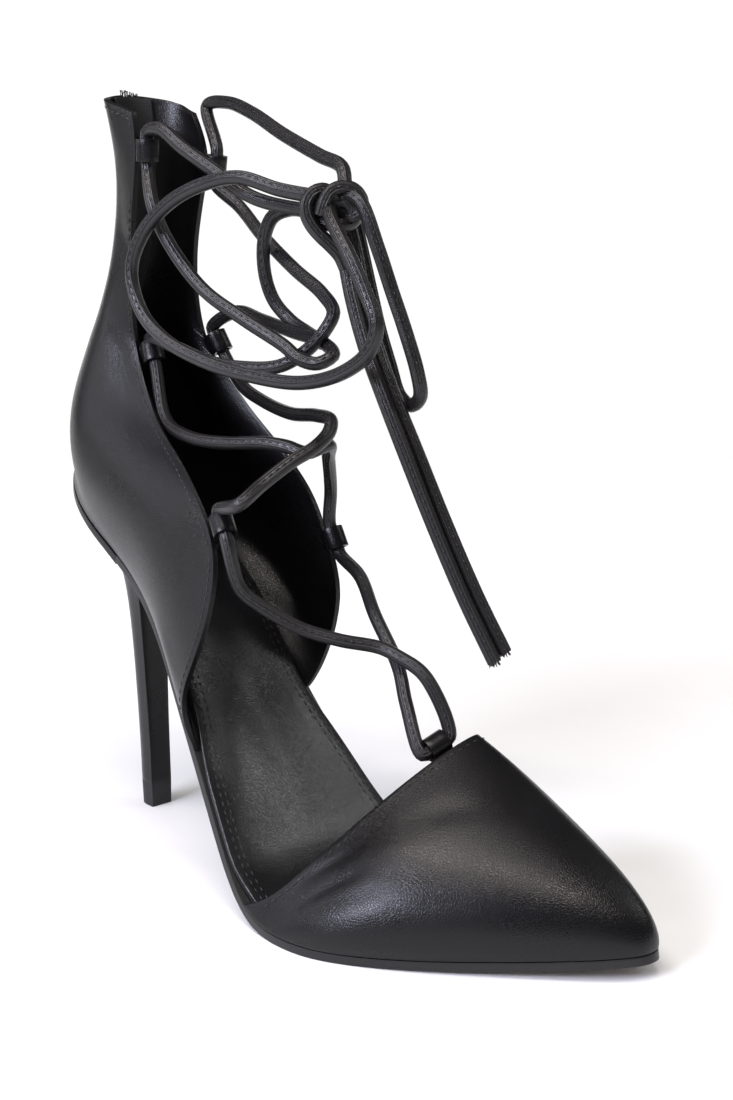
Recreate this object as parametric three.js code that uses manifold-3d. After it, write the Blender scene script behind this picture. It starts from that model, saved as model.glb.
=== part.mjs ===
// Lace up stiletto heel with a pointed toe, a right shoe.
// Millimetres, +X to the toe, +Y to the inner side of the foot, +Z up.
// The origin is the centre of the heel tip, on the floor.
import * as THREE from 'three';
import { mergeVertices } from 'three/addons/utils/BufferGeometryUtils.js';
import Module from 'manifold-3d';

const wasm = await Module();
wasm.setup();

// Driving dimensions
const GAP = 0.3; // clearance between neighbouring pieces
const WELD = 1e-3; // vertices closer than this are one
const SOLE_THICKNESS = 2.4;
const SOLE_START_X = 16.4;
const LIFT_HEIGHT = 8.2;
const LIFT_TAPER = 0.95;
const SEAT_FRONT_X = 16;
const LIP_THICKNESS = 2.6;
const INSOLE_THICKNESS = 1.7;
const INSOLE_INSET = 2.9;
const INSOLE_OPEN_INSET = 0.6;
const INSOLE_START_X = -22.4;
const INSOLE_END_X = 176;
const OPEN_WAIST = [63, 71, 91, 98]; // x where the insole widens to the sole's edge and narrows again
const UPPER_WALL = 1.6;
const VAMP_WALL = 1.6;
const SLOT_HALF_WIDTH = 2.5;
const TAPE_HALF_WIDTH = 8.5;
const TAPE_THICKNESS = 0.7;
const COIL_HALF_WIDTH = 2.1;
const COIL_THICKNESS = 1.2;
const COIL_GAP = 0.45; // clearance between the coil and its tape
const ZIP_BOTTOM_LEVEL = 4.9;
const LACE_RADIUS = 2;
const LACE_SIDES = 8;
const LACE_STEP = 8; // length of one straight bit of a lace
const LACE_REST = [0.5, 5.5]; // distances from a loop's rim where a lace ends and where it first bends
const LOOP_WIDTH = 6.4;
const LOOP_STRAP = 1.1;
const LOOP_HOLE_RADIUS = 2.5;
const LOOP_STEM = 5; // length of the strap that lies inside the wall
const LOOP_REACH = 4.6; // from the upper's edge to the centre of the loop
const LOOP_DROP = 1.3; // depth of that centre under the outer face
const LOOP_SIDES = 11;
const SLIDER = { x: -4.1, y: 3, z: 221.5, thickness: 2.6, halfWidth: 4, halfHeight: 5 };
const BRIDGE = { halfHeight: 3.4, reach: 3.4, bar: 1.1, width: 1.3 };
const PULL = { thickness: 1, halfWidth: 1.9, length: 24, eyeWidth: 2.1, eyeLength: 5, bar: 1.1, side: 0.85 };

// Footbed rows from the back of the heel seat to the toe tip:
// height of the upper's lower edge, reach of the outline to the outer and the inner side
const FOOTBED = [
  { x: -25.6, z: 118.4, outer: 0, inner: 0 },
  { x: -24.4, z: 116.4, outer: 6.6, inner: 6.6 },
  { x: -20.4, z: 111.8, outer: 12.8, inner: 12.8 },
  { x: -12, z: 105.6, outer: 17.6, inner: 17.6 },
  { x: 0, z: 98.4, outer: 20.1, inner: 20 },
  { x: 15, z: 90.4, outer: 20.9, inner: 20.4 },
  { x: 30, z: 81.6, outer: 22.3, inner: 19.8 },
  { x: 44, z: 69.2, outer: 25, inner: 18.6 },
  { x: 56, z: 54.8, outer: 28.2, inner: 17.6 },
  { x: 67.5, z: 41.4, outer: 31.4, inner: 18.2 },
  { x: 80, z: 25.6, outer: 34.6, inner: 21.4 },
  { x: 91, z: 11.6, outer: 37.2, inner: 26 },
  { x: 103, z: 3.4, outer: 39.7, inner: 32 },
  { x: 117, z: 2.4, outer: 40.8, inner: 36.6 },
  { x: 131, z: 2.4, outer: 38, inner: 37.6 },
  { x: 150, z: 2.9, outer: 26.6, inner: 35.2 },
  { x: 170, z: 4.2, outer: 10.9, inner: 30.6 },
  { x: 185, z: 5.6, outer: -1.6, inner: 26 },
  { x: 192.5, z: 6.4, outer: -8.8, inner: 23.4 },
  { x: 196, z: 6.8, outer: -13.4, inner: 20.8 },
  { x: 197, z: 7, outer: -17.2, inner: 17.2 },
];

// Heel rows from the top lift upward: x and z of the back and the breast, half width
const HEEL = [
  { back: [-4.8, LIFT_HEIGHT], breast: [4.2, LIFT_HEIGHT], half: 3.9 },
  { back: [-4.9, 21], breast: [4.2, 20], half: 3.9 },
  { back: [-5.3, 37], breast: [4, 36], half: 4.2 },
  { back: [-6, 56], breast: [3.9, 54.5], half: 4.8 },
  { back: [-7.6, 75], breast: [4.6, 72.5], half: 6.1 },
  { back: [-11.2, 91.8], breast: [7.4, 80.6], half: 9.2 },
  { back: [-15.6, 100.8], breast: [10.2, 84.6], half: 12.6 },
  { back: [-20, 107.8], breast: [13.3, 87], half: 16 },
];

// Levels of the back part of the upper above the sole's edge, up to the collar.
// back: x, z on the heel curve; side: x, half width, z; fore: half width, z
const LEVELS = [
  { lean: 0, back: [-26.6, 122.8], side: [2, 21.6, 102], fore: [26.4, 82] },
  { lean: 0, back: [-27.2, 127], side: [2, 22.6, 107.5], fore: [28, 90] },
  { lean: 0, back: [-27.2, 130.8], side: [2, 23.2, 112.5], fore: [28.4, 97] },
  { lean: 0, back: [-26.8, 134.4], side: [2, 23.4, 117], fore: [27.8, 103.5] },
  { lean: 0, back: [-25.8, 138], side: [2, 23.2, 121.5], fore: [26.6, 110] },
  { lean: 0.2, back: [-24.6, 142.4], side: [2, 22.6, 126.5], fore: [24.6, 116] },
  { lean: 0.5, back: [-22.8, 147.6], side: [1.6, 21.2, 132.5], fore: [22, 122.5] },
  { lean: 1, back: [-20.6, 153.4], side: [1, 19.2, 139.5], fore: [19.2, 129.5] },
  { lean: 1.6, back: [-18, 159.8], side: [0, 17, 147], fore: [16.4, 138] },
  { lean: 2.2, back: [-15, 166.4], side: [0, 14.8, 155.5], fore: [14.2, 148.5] },
  { lean: 2.8, back: [-11.8, 173.6], side: [0, 13, 165], fore: [12.8, 158.5] },
  { lean: 3.2, back: [-8.8, 181.4], side: [2, 11.8, 175.5], fore: [12.6, 170] },
  { lean: 3.4, back: [-6.2, 190.4], side: [4, 11.2, 187], fore: [12.6, 183] },
  { lean: 3.4, back: [-4.4, 199.6], side: [6, 11.2, 197], fore: [12.9, 193.5] },
  { lean: 3.4, back: [-3.6, 209.6], side: [7.4, 11.8, 207], fore: [13.3, 204] },
  { lean: 3, back: [-3.6, 219.6], side: [7.6, 12.8, 216.5], fore: [13.8, 214.5] },
  { lean: 2.6, back: [-4.4, 229.8], side: [6.4, 14, 227], fore: [14, 225] },
];

// x, reach, z where each of these levels ends, at the front edge of either side
const FRONT_EDGES = [
  { outer: [66.2, 34.6, 52], inner: [62, 21.6, 54] },
  { outer: [69.2, 35.6, 62], inner: [64.4, 24, 62] },
  { outer: [74, 34, 73], inner: [67, 25, 71.5] },
  { outer: [76.9, 31.9, 84], inner: [68.2, 25.2, 81] },
  { outer: [77.2, 29.6, 95], inner: [66, 24.8, 91] },
  { outer: [75.2, 28.4, 104.5], inner: [61.6, 24.6, 100] },
  { outer: [64, 24.6, 114.2], inner: [56, 24.6, 110] },
  { outer: [48.6, 19.2, 123.6], inner: [43.5, 23.6, 122] },
  { outer: [33, 15.7, 132], inner: [32, 22, 131.5] },
  { outer: [23.4, 12.6, 141.6], inner: [23.4, 20.4, 141] },
  { outer: [14.6, 9.6, 152], inner: [15, 18, 151.5] },
  { outer: [12.2, 9.4, 164.5], inner: [12.2, 16.6, 164] },
  { outer: [14, 10, 178], inner: [12.4, 16, 178] },
  { outer: [15.4, 10.6, 189], inner: [14, 16.2, 189] },
  { outer: [18.2, 11, 201], inner: [17, 16.8, 201] },
  { outer: [20.8, 11.2, 212.5], inner: [19.4, 17, 212] },
  { outer: [19.8, 11.4, 223.2], inner: [14.6, 16, 224] },
];
const FORE_SHARE = 0.55; // place of the fore column between the side and the front edge
const FEATHER_FRONT = { outer: 67.5, inner: 61 }; // x where the lowest level ends

// Rows of the vamp from its topline to the toe tip:
// x of both feet of the arch, ridge point, roundness of the arch
const VAMP = [
  { outer: 98.5, inner: 104, ridge: [133, 18.6, 50.4], arch: 1.42 },
  { outer: 107, inner: 111, ridge: [139, 18.8, 47.8], arch: 1.5 },
  { outer: 117, inner: 120, ridge: [145.8, 19, 44.4], arch: 1.58 },
  { outer: 129, inner: 131, ridge: [153.2, 19, 40.4], arch: 1.66 },
  { outer: 143, inner: 144, ridge: [161.6, 18.8, 36], arch: 1.74 },
  { outer: 157, inner: 157, ridge: [170.4, 18.6, 31.4], arch: 1.82 },
  { outer: 170, inner: 170, ridge: [179, 18.4, 26.8], arch: 1.9 },
  { outer: 181, inner: 181, ridge: [186.4, 18.2, 22.2], arch: 2 },
  { outer: 189, inner: 189, ridge: [191.8, 18, 18], arch: 2 },
  { outer: 193.6, inner: 193.6, ridge: [195, 17.8, 14.2], arch: 2 },
  { outer: 196, inner: 196, ridge: [196.7, 17.5, 10.6], arch: 2 },
  { outer: 197, inner: 197, ridge: [197, 17.2, 7], arch: 2 },
];
const TOPLINE_LEAN = 0.8; // how soon the topline runs forward as it climbs

// Lace loops on both front edges, by side and level
const LOOPS = [
  { name: 'loop_outer_low', sign: -1, level: 6.15 },
  { name: 'loop_outer_middle', sign: -1, level: 10.9 },
  { name: 'loop_outer_top', sign: -1, level: 16 },
  { name: 'loop_inner_low', sign: 1, level: 5.4 },
  { name: 'loop_inner_middle', sign: 1, level: 11 },
  { name: 'loop_inner_top', sign: 1, level: 15.7 },
];
const THROAT_LOOP = { name: 'loop_throat', v: 0.4 }; // place along the vamp's topline

// Runs of the lace. A run may start or end at a loop, below (-1) or above (1) it;
// the points between are x, y, z along the lace's centre line.
const LACES = [
  {
    name: 'lace_front',
    runs: [
      {
        from: ['loop_throat', 1], to: ['loop_outer_low', -1],
        through: [
          [120, 11, 66], [111, 9, 69], [106, 8, 71.5], [99, -2, 75], [91, -10, 78.5],
          [85, -19, 85.5], [82, -24, 91],
        ],
      },
      {
        from: ['loop_throat', -1], to: ['loop_inner_low', -1],
        through: [
          [117, 6.5, 58], [111, 9, 69], [96, 14, 79], [83, 20, 87.5],
        ],
      },
    ],
  },
  {
    name: 'lace_cross_low',
    runs: [
      {
        from: ['loop_outer_low', 1], to: ['loop_inner_middle', -1],
        through: [
          [89.5, -29, 116.5], [89, -21, 121], [91.5, -12, 127], [89, 1, 131], [89, 3, 135.5],
          [80, 7, 136.5], [65, 10, 135.5], [44.5, 15, 137.5], [32.5, 17, 141],
        ],
      },
      {
        from: ['loop_inner_low', 1], to: ['loop_outer_middle', -1],
        through: [
          [68, 22, 111], [79, 12, 123.5], [91.5, 1, 131.5], [84, -4, 130.5], [73, -8, 129.5],
          [60, -11, 128.5], [45.5, -13, 129], [30.5, -11, 133],
        ],
      },
    ],
  },
  {
    name: 'lace_cross_high',
    runs: [
      {
        from: ['loop_outer_top', -1], to: ['loop_inner_middle', 1],
        through: [
          [31, -13, 196.5], [36, -12, 186.5], [48.5, -9, 172.5], [64, -6, 164],
          [77.5, -2, 157], [82, 0.5, 155], [87, 2, 154], [89, 5, 155], [81.5, 8, 157.5],
          [65, 11, 159.5], [47, 14, 162], [29, 18, 163.5],
        ],
      },
      {
        from: ['loop_outer_middle', 1], to: ['loop_inner_top', -1],
        through: [
          [38, -11.5, 155], [47.5, -8, 151.5], [60, -5, 150], [75, -2, 151.5], [82, 0.5, 155],
          [87.5, 4, 161], [87, 8, 166], [80, 10, 171], [65.5, 12, 177.5], [47, 15, 187],
          [32.5, 18, 195.5],
        ],
      },
      {
        through: [
          [96, -1, 196], [70, 7, 194.5], [60.5, 8, 192], [56.5, 8, 185.5], [55.5, 9, 175.5],
          [58.5, 9, 167], [65, 11, 159.5],
        ],
      },
    ],
  },
  {
    name: 'lace_top_outer',
    runs: [
      {
        from: ['loop_outer_top', 1],
        through: [
          [33.5, -11, 218], [42.5, -10, 212.5], [54, -8, 206], [67, -5, 198.5],
          [79.5, -3, 195], [94, -4, 194],
        ],
      },
    ],
  },
  {
    name: 'lace_top_inner',
    runs: [
      {
        from: ['loop_inner_top', 1],
        through: [
          [13.5, 21, 226], [28, 18, 226.5], [45, 14, 222.5], [65.5, 9, 215.5], [86, 5, 209],
          [98, 3, 205.5], [99.5, 0.5, 199],
        ],
      },
    ],
  },
  {
    name: 'bow_loop_large',
    runs: [
      {
        through: [
          [97.5, -3, 197.5], [81.5, -6, 200], [69, -10, 203.5], [57, -13, 202], [44, -16, 197],
          [32.5, -18, 188], [27.5, -19, 177.5], [31.5, -19, 166], [41.5, -18, 158],
          [57, -15, 152], [73.5, -12, 149], [92, -9, 148], [109.5, -8, 152], [120, -8, 158.5],
          [122.5, -8, 165], [118.5, -8, 173], [112.5, -8.5, 183], [101.5, -5, 194],
        ],
      },
    ],
  },
  {
    name: 'bow_loop_small',
    runs: [
      {
        through: [
          [107, 1.5, 195.5], [111.5, 3, 184], [114.5, 5, 173], [118.5, 6, 162.5],
          [122, 7, 151.5], [121.5, 8.5, 145], [116, 10, 142], [111, 10.5, 144.5],
          [108.5, 9.5, 152.5], [104.5, 9.5, 162], [100.5, 10, 172.5], [96.5, 10.5, 183.5],
          [94, 10, 193],
        ],
      },
    ],
  },
  {
    name: 'lace_end_a',
    runs: [
      {
        through: [
          [98, -2, 195], [99, 1.5, 182.5], [103, 1, 170.5], [108.5, 0.5, 158],
          [115.5, 0.5, 145], [122, 2.5, 129.5], [127.5, 7, 111], [134.5, 12, 90.5],
          [142, 16, 73.5],
        ],
      },
    ],
  },
  {
    name: 'lace_end_b',
    runs: [
      {
        through: [
          [95, 5.5, 195.5], [99, 6, 183], [102.5, 5.5, 171], [107.5, 5, 159.5],
          [114, 5, 146.5], [121, 7, 131], [128, 11, 111.5], [135, 16, 91.5], [142, 20, 75.5],
        ],
      },
    ],
  },
];
const KNOT = { from: [95.3, -4.9, 196.5], to: [101.8, 2.3, 196.5], radius: 4.4 };

// Materials
const LEATHER = { color: 0x151417, roughness: 0.42, metalness: 0 };
const LINING = { color: 0x0e0d0f, roughness: 0.8, metalness: 0 };
const SOLE_STUFF = { color: 0x4b433d, roughness: 0.75, metalness: 0 };
const RUBBER = { color: 0x111112, roughness: 0.7, metalness: 0 };
const METAL = { color: 0x2b2b2f, roughness: 0.35, metalness: 1 };
const LACE = { color: 0x18171a, roughness: 0.5, metalness: 0 };
const NYLON = { color: 0x121214, roughness: 0.55, metalness: 0 };

const shoe = new THREE.Group();

const lerp = THREE.MathUtils.lerp;
const clamp = THREE.MathUtils.clamp;
const vec = (x, y, z) => new THREE.Vector3(x, y, z);

// Solids from grids and loops of points

// Welds a list of triangles, each three Vector3, into one closed geometry that faces outward.
function closedGeometry(triangles) {
  const raw = new THREE.BufferGeometry().setFromPoints(triangles.flat());
  const merged = mergeVertices(raw, WELD);
  const index = merged.index.array;
  const position = merged.attributes.position;
  const kept = [];
  let volume = 0;
  const corner = (k) => new THREE.Vector3().fromBufferAttribute(position, k);
  for (let i = 0; i < index.length; i += 3) {
    const [a, b, c] = [index[i], index[i + 1], index[i + 2]];
    if (a === b || b === c || c === a) continue;
    kept.push(a, b, c);
    volume += corner(a).dot(corner(b).cross(corner(c)));
  }
  if (volume < 0) kept.reverse();
  merged.setIndex(kept);
  return merged;
}

function quad(a, b, c, d) {
  return [[a, b, c], [a, c, d]];
}

// A shell between two grids of points, closed by rims along its four sides.
function shellGeometry(outer, inner) {
  const triangles = [];
  const rows = outer.length - 1;
  const columns = outer[0].length - 1;
  for (let i = 0; i < rows; i++) {
    for (let j = 0; j < columns; j++) {
      triangles.push(...quad(outer[i][j], outer[i][j + 1], outer[i + 1][j + 1], outer[i + 1][j]));
      triangles.push(...quad(inner[i][j], inner[i + 1][j], inner[i + 1][j + 1], inner[i][j + 1]));
    }
  }
  for (let j = 0; j < columns; j++) {
    triangles.push(...quad(outer[0][j], inner[0][j], inner[0][j + 1], outer[0][j + 1]));
    triangles.push(...quad(outer[rows][j], outer[rows][j + 1], inner[rows][j + 1], inner[rows][j]));
  }
  for (let i = 0; i < rows; i++) {
    triangles.push(...quad(outer[i][0], outer[i + 1][0], inner[i + 1][0], inner[i][0]));
    const [near, far] = [i, i + 1];
    const [from, to] = [outer, inner].map((side) => [side[near][columns], side[far][columns]]);
    triangles.push(...quad(from[0], to[0], to[1], from[1]));
  }
  return closedGeometry(triangles);
}

// A solid through closed rings of points. Each ring starts on the plane of symmetry,
// and each end is closed by strips from a point of one side to its match on the other.
function loftGeometry(rings) {
  const triangles = [];
  const count = rings[0].length;
  for (let i = 0; i + 1 < rings.length; i++) {
    for (let j = 0; j < count; j++) {
      const k = (j + 1) % count;
      triangles.push(...quad(rings[i][j], rings[i][k], rings[i + 1][k], rings[i + 1][j]));
    }
  }
  const strips = (ring) => Array.from({ length: (count - 1) / 2 }, (_, j) => (
    quad(ring[j], ring[j + 1], ring[count - j - 1], ring[(count - j) % count])
  )).flat();
  const turned = ([a, b, c]) => [a, c, b];
  triangles.push(...strips(rings[0]).map(turned), ...strips(rings[rings.length - 1]));
  return closedGeometry(triangles);
}

function grid(rows, columns, at) {
  const steps = (n) => Array.from({ length: n + 1 }, (_, i) => i / n);
  return steps(rows).map((u) => steps(columns).map((v) => at(u, v)));
}

function solidOf(geometry) {
  const bare = geometry.clone();
  bare.deleteAttribute('normal');
  bare.deleteAttribute('uv');
  const merged = mergeVertices(bare, WELD);
  const vertProperties = merged.attributes.position.array;
  const triVerts = new Uint32Array(merged.index.array);
  return new wasm.Manifold(new wasm.Mesh({ numProp: 3, vertProperties, triVerts }));
}

const closedFrom = (geometry) => geometryOf(solidOf(geometry));

function geometryOf(solid) {
  const mesh = solid.getMesh();
  const geometry = new THREE.BufferGeometry();
  geometry.setAttribute('position', new THREE.BufferAttribute(mesh.vertProperties, 3));
  geometry.setIndex(new THREE.BufferAttribute(mesh.triVerts, 1));
  return geometry;
}

function addPiece(name, geometry, look) {
  geometry.computeVertexNormals();
  const mesh = new THREE.Mesh(geometry, new THREE.MeshStandardMaterial(look));
  mesh.name = name;
  shoe.add(mesh);
}

// The footbed: one profile and outline that the sole, insole, heel seat and upper share

const evenCurve = (points) => new THREE.CatmullRomCurve3(points, false, 'catmullrom', 0.5);
const OUTLINE = evenCurve(FOOTBED.map((r) => vec(r.x, r.outer, r.inner)));
const PROFILE = evenCurve(FOOTBED.map((r) => vec(r.x, r.z, 0)));
const TREAD_Z = SOLE_THICKNESS;

function footbedRow(t) {
  const width = OUTLINE.getPoint(t);
  const height = PROFILE.getPoint(t);
  return { x: width.x, outer: width.y, inner: width.z, z: Math.max(height.y, TREAD_Z) };
}

// Share of the footbed's rows at which it reaches x.
function footbedShare(x) {
  let low = 0;
  let high = 1;
  for (let i = 0; i < 40; i++) {
    const middle = (low + high) / 2;
    if (OUTLINE.getPoint(middle).x < x) low = middle;
    else high = middle;
  }
  return (low + high) / 2;
}

const footbedAt = (x) => footbedRow(footbedShare(x));

// Unit vector square to the footbed's profile, upward.
function footbedUp(t) {
  const before = footbedRow(Math.max(t - 0.004, 0));
  const after = footbedRow(Math.min(t + 0.004, 1));
  return vec(before.z - after.z, 0, after.x - before.x).normalize();
}

// A sheet that follows the footbed from one share to another, between two heights square to it.
function footbedSheet(start, end, rows, columns, low, high, insetAt) {
  const face = (lift) => grid(rows, columns, (u, v) => {
    const t = lerp(start, end, u);
    const row = footbedRow(t);
    const inset = insetAt(row.x);
    const y = lerp(-(row.outer - inset), row.inner - inset, v);
    return vec(row.x, y, row.z).addScaledVector(footbedUp(t), lift);
  });
  return shellGeometry(face(high), face(low));
}

function outsole() {
  const start = footbedShare(SOLE_START_X);
  addPiece('outsole', footbedSheet(start, 1, 28, 4, -SOLE_THICKNESS, 0, () => 0), SOLE_STUFF);
}

const ramp = (x, from, to) => THREE.MathUtils.smoothstep(x, from, to);

function insoleInset(x) {
  const open = ramp(x, OPEN_WAIST[0], OPEN_WAIST[1]) - ramp(x, OPEN_WAIST[2], OPEN_WAIST[3]);
  return lerp(INSOLE_INSET, INSOLE_OPEN_INSET, open);
}

function insole() {
  const ends = [INSOLE_START_X, INSOLE_END_X].map(footbedShare);
  const top = GAP + INSOLE_THICKNESS;
  addPiece('insole', footbedSheet(...ends, 30, 4, GAP, top, insoleInset), LINING);
}

// The covered heel and its top lift

const HEEL_SIDE_STEPS = 9;

// Share of the half width at a share of the way from the back of a heel section to its breast.
function heelRound(f) {
  const widest = 0.62;
  return f < widest ? Math.sqrt(1 - (1 - f / widest) ** 2) : 1;
}

// Outline of a heel section as pairs of a share from back to breast and a share of the half width.
function heelOutline() {
  const quarterTurn = (i) => (i / HEEL_SIDE_STEPS) * (Math.PI / 2);
  const side = Array.from({ length: HEEL_SIDE_STEPS + 1 }, (_, i) => 1 - Math.cos(quarterTurn(i)));
  const outer = side.map((f) => [f, -heelRound(f)]);
  const inner = side.slice(1).reverse().map((f) => [f, heelRound(f)]);
  return [...outer, ...inner];
}

// The section that fits the footbed from the back of the seat to its front, a thickness below it.
// Its breast edge is square to the footbed, where the sole butts against it.
function seatRing(drop) {
  return heelOutline().map(([f, w]) => {
    const x = lerp(FOOTBED[0].x, SEAT_FRONT_X, f);
    const t = footbedShare(x);
    const row = footbedRow(t);
    const edge = w < 0 ? row.outer : row.inner;
    return vec(x - footbedUp(t).x * drop * f, Math.sign(w) * edge, row.z - drop);
  });
}

function heel() {
  const rowCurve = (pick) => evenCurve(HEEL.map((r) => vec(...pick(r), r.half)));
  const backs = rowCurve((r) => r.back);
  const breasts = rowCurve((r) => r.breast);
  const steps = 2 * (HEEL.length - 1);
  const rings = Array.from({ length: steps + 1 }, (_, i) => {
    const back = backs.getPoint(i / steps);
    const breast = breasts.getPoint(i / steps);
    const at = ([f, w]) => vec(lerp(back.x, breast.x, f), w * back.z, lerp(back.y, breast.y, f));
    return heelOutline().map(at);
  });
  rings.push(seatRing(LIP_THICKNESS), seatRing(GAP));
  addPiece('heel', loftGeometry(rings), LEATHER);
}

function topLift() {
  const foot = HEEL[0];
  const ring = (z, scale) => heelOutline().map(([f, w]) => {
    const x = lerp(foot.back[0], foot.breast[0], 0.5 + (f - 0.5) * scale);
    return vec(x, w * foot.half * scale, z);
  });
  addPiece('heel_top_lift', loftGeometry([ring(0, LIFT_TAPER), ring(LIFT_HEIGHT, 1)]), RUBBER);
}

// The back part of the upper: heel counter and both high sides

const COLUMN_ANGLES = [22.5, 45, 67.5].map((a) => THREE.MathUtils.degToRad(a));
const BACK_ROUNDNESS = 1.65; // 2 is an ellipse, less is more pointed at the back

// Points of one level from its back to the front edge of one side; sign is -1 on the outer side.
function levelSide(level, edges, sign) {
  const [backX, backZ] = level.back;
  const [sideX, half, sideZ] = level.side;
  const [edgeX, reach, edgeZ] = sign < 0 ? edges.outer : edges.inner;
  const points = COLUMN_ANGLES.map((a) => {
    const along = 1 - Math.cos(a) ** (2 / BACK_ROUNDNESS);
    const across = sign * half * Math.sin(a) ** (2 / BACK_ROUNDNESS);
    return vec(lerp(backX, sideX, along), level.lean + across, lerp(backZ, sideZ, along));
  });
  points.push(vec(sideX, level.lean + sign * half, sideZ));
  const foreX = lerp(sideX, edgeX, FORE_SHARE);
  points.push(vec(foreX, level.lean + sign * level.fore[0], level.fore[1]));
  points.push(vec(edgeX, sign * reach, edgeZ));
  return points;
}

// A point of the upper's lower edge, just above the footbed's outline.
function featherPoint(x, sign) {
  const t = footbedShare(x);
  const row = footbedRow(t);
  const reach = sign < 0 ? row.outer : row.inner;
  return vec(x, sign * reach, row.z).addScaledVector(footbedUp(t), GAP);
}

// The lowest level runs along the footbed's outline.
function featherSide(sign) {
  const end = sign < 0 ? FEATHER_FRONT.outer : FEATHER_FRONT.inner;
  const inner = FOOTBED.slice(1).filter((r) => r.x < end - 3).map((r) => r.x);
  return [...inner, end].map((x) => featherPoint(x, sign));
}

function levelCurve(back, outer, inner) {
  const points = [...outer.slice().reverse(), back, ...inner];
  const curve = new THREE.CatmullRomCurve3(points);
  curve.arcLengthDivisions = 240;
  const lengths = curve.getLengths();
  const total = lengths[lengths.length - 1];
  const share = outer.length / (points.length - 1);
  const toBack = lengths[Math.round(share * curve.arcLengthDivisions)];
  return { curve, total, toBack };
}

const LEVEL_CURVES = [
  levelCurve(featherPoint(FOOTBED[0].x, 1), featherSide(-1), featherSide(1)),
  ...LEVELS.map((level, i) => {
    const back = vec(level.back[0], level.lean, level.back[1]);
    return levelCurve(back, levelSide(level, FRONT_EDGES[i], -1), levelSide(level, FRONT_EDGES[i], 1));
  }),
];
const TOP_LEVEL = LEVEL_CURVES.length - 1;

// Point of a level; v runs from -1 on the outer edge over 0 at the back to 1 on the inner edge.
function onLevel(k, v) {
  const { curve, total, toBack } = LEVEL_CURVES[clamp(k, 0, TOP_LEVEL)];
  const length = v < 0 ? toBack * (1 + v) : toBack + (total - toBack) * v;
  return curve.getPointAt(clamp(length / total, 0, 1));
}

// Point of the outer face of the upper at a height counted in levels.
function upperFace(level, v) {
  const k = clamp(Math.floor(level), 0, TOP_LEVEL - 1);
  const f = level - k;
  const [a, b, c, d] = [k - 1, k, k + 1, k + 2].map((n) => onLevel(n, v));
  const blend = (p, q, r, s) => {
    const rise = (r - p) / 2;
    const fall = (s - q) / 2;
    return q + f * rise + f * f * (3 * (r - q) - 2 * rise - fall) + f ** 3 * (2 * (q - r) + rise + fall);
  };
  return vec(blend(a.x, b.x, c.x, d.x), blend(a.y, b.y, c.y, d.y), blend(a.z, b.z, c.z, d.z));
}

const STEP = 0.02;
const OVERRUN = 8; // millimetres for a level above the collar

// Directions on the outer face: toward the inner edge, up a level, and outward.
function upperFrame(level, v) {
  const ahead = upperFace(level, Math.min(v + STEP, 1));
  const along = ahead.sub(upperFace(level, Math.max(v - STEP, -1))).normalize();
  const low = clamp(level - 5 * STEP, 0, TOP_LEVEL);
  const high = clamp(level + 5 * STEP, 0, TOP_LEVEL);
  const up = upperFace(high, v).sub(upperFace(low, v)).normalize();
  const out = up.clone().cross(along).normalize();
  return { along, up, out };
}

// Point at a depth under the outer face, measured square to it.
// The lower edge stays flat on the footbed, and above the collar the strip runs straight on.
function inUpper(level, v, depth) {
  const held = Math.min(level, TOP_LEVEL);
  const { up, out } = upperFrame(held, v);
  const point = upperFace(held, v);
  const floor = footbedUp(footbedShare(point.x));
  const tucked = Math.max(1 - held, 0) * out.dot(floor);
  out.addScaledVector(floor, -tucked).normalize();
  return point.addScaledVector(out, -depth).addScaledVector(up, (level - held) * OVERRUN);
}

// Length of a level from its back to an edge.
function sideLength(level, sign) {
  const k = clamp(Math.floor(level), 0, TOP_LEVEL - 1);
  const lengthOf = ({ total, toBack }) => (sign < 0 ? toBack : total - toBack);
  return lerp(lengthOf(LEVEL_CURVES[k]), lengthOf(LEVEL_CURVES[k + 1]), level - k);
}

// A strip that follows the back of the upper, between two depths under its outer face.
function backStrip(low, high, rows, columns, halfWidth, near, deep) {
  const face = (depth) => grid(rows, columns, (u, w) => {
    const level = lerp(low, high, u);
    const reach = lerp(-halfWidth, halfWidth, w);
    return inUpper(level, reach / sideLength(level, reach), depth);
  });
  return shellGeometry(face(near), face(deep));
}

// Spreads the columns so that they are close where the heel turns.
const columnPlace = (s) => Math.sign(s) * Math.abs(s) ** 1.35;

function quarter() {
  const place = (u, w) => [u * TOP_LEVEL, columnPlace(2 * w - 1)];
  const face = (depth) => grid(26, 30, (u, w) => inUpper(...place(u, w), depth));
  const wall = solidOf(shellGeometry(face(0), face(UPPER_WALL)));
  const cut = [-3, UPPER_WALL + 3];
  const slot = solidOf(backStrip(ZIP_BOTTOM_LEVEL, TOP_LEVEL + 1, 20, 2, SLOT_HALF_WIDTH, ...cut));
  addPiece('quarter', geometryOf(wall.subtract(slot)), LEATHER);
}

function zip() {
  const deep = UPPER_WALL + GAP;
  const tapeSpan = [ZIP_BOTTOM_LEVEL - 0.8, TOP_LEVEL - 0.1];
  const tape = backStrip(...tapeSpan, 20, 6, TAPE_HALF_WIDTH, deep, deep + TAPE_THICKNESS);
  addPiece('zip_tape', tape, LINING);
  const sunk = deep - COIL_GAP;
  const coilSpan = [ZIP_BOTTOM_LEVEL + 0.1, TOP_LEVEL - 0.4];
  const coil = backStrip(...coilSpan, 20, 1, COIL_HALF_WIDTH, sunk - COIL_THICKNESS, sunk);
  addPiece('zip_coil', coil, NYLON);
}

// The vamp

const vampCurve = (pick) => evenCurve(VAMP.map(pick));
const VAMP_FEET = vampCurve((r) => vec(r.outer, r.inner, r.arch));
const VAMP_RIDGE = vampCurve((r) => vec(...r.ridge));

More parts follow.
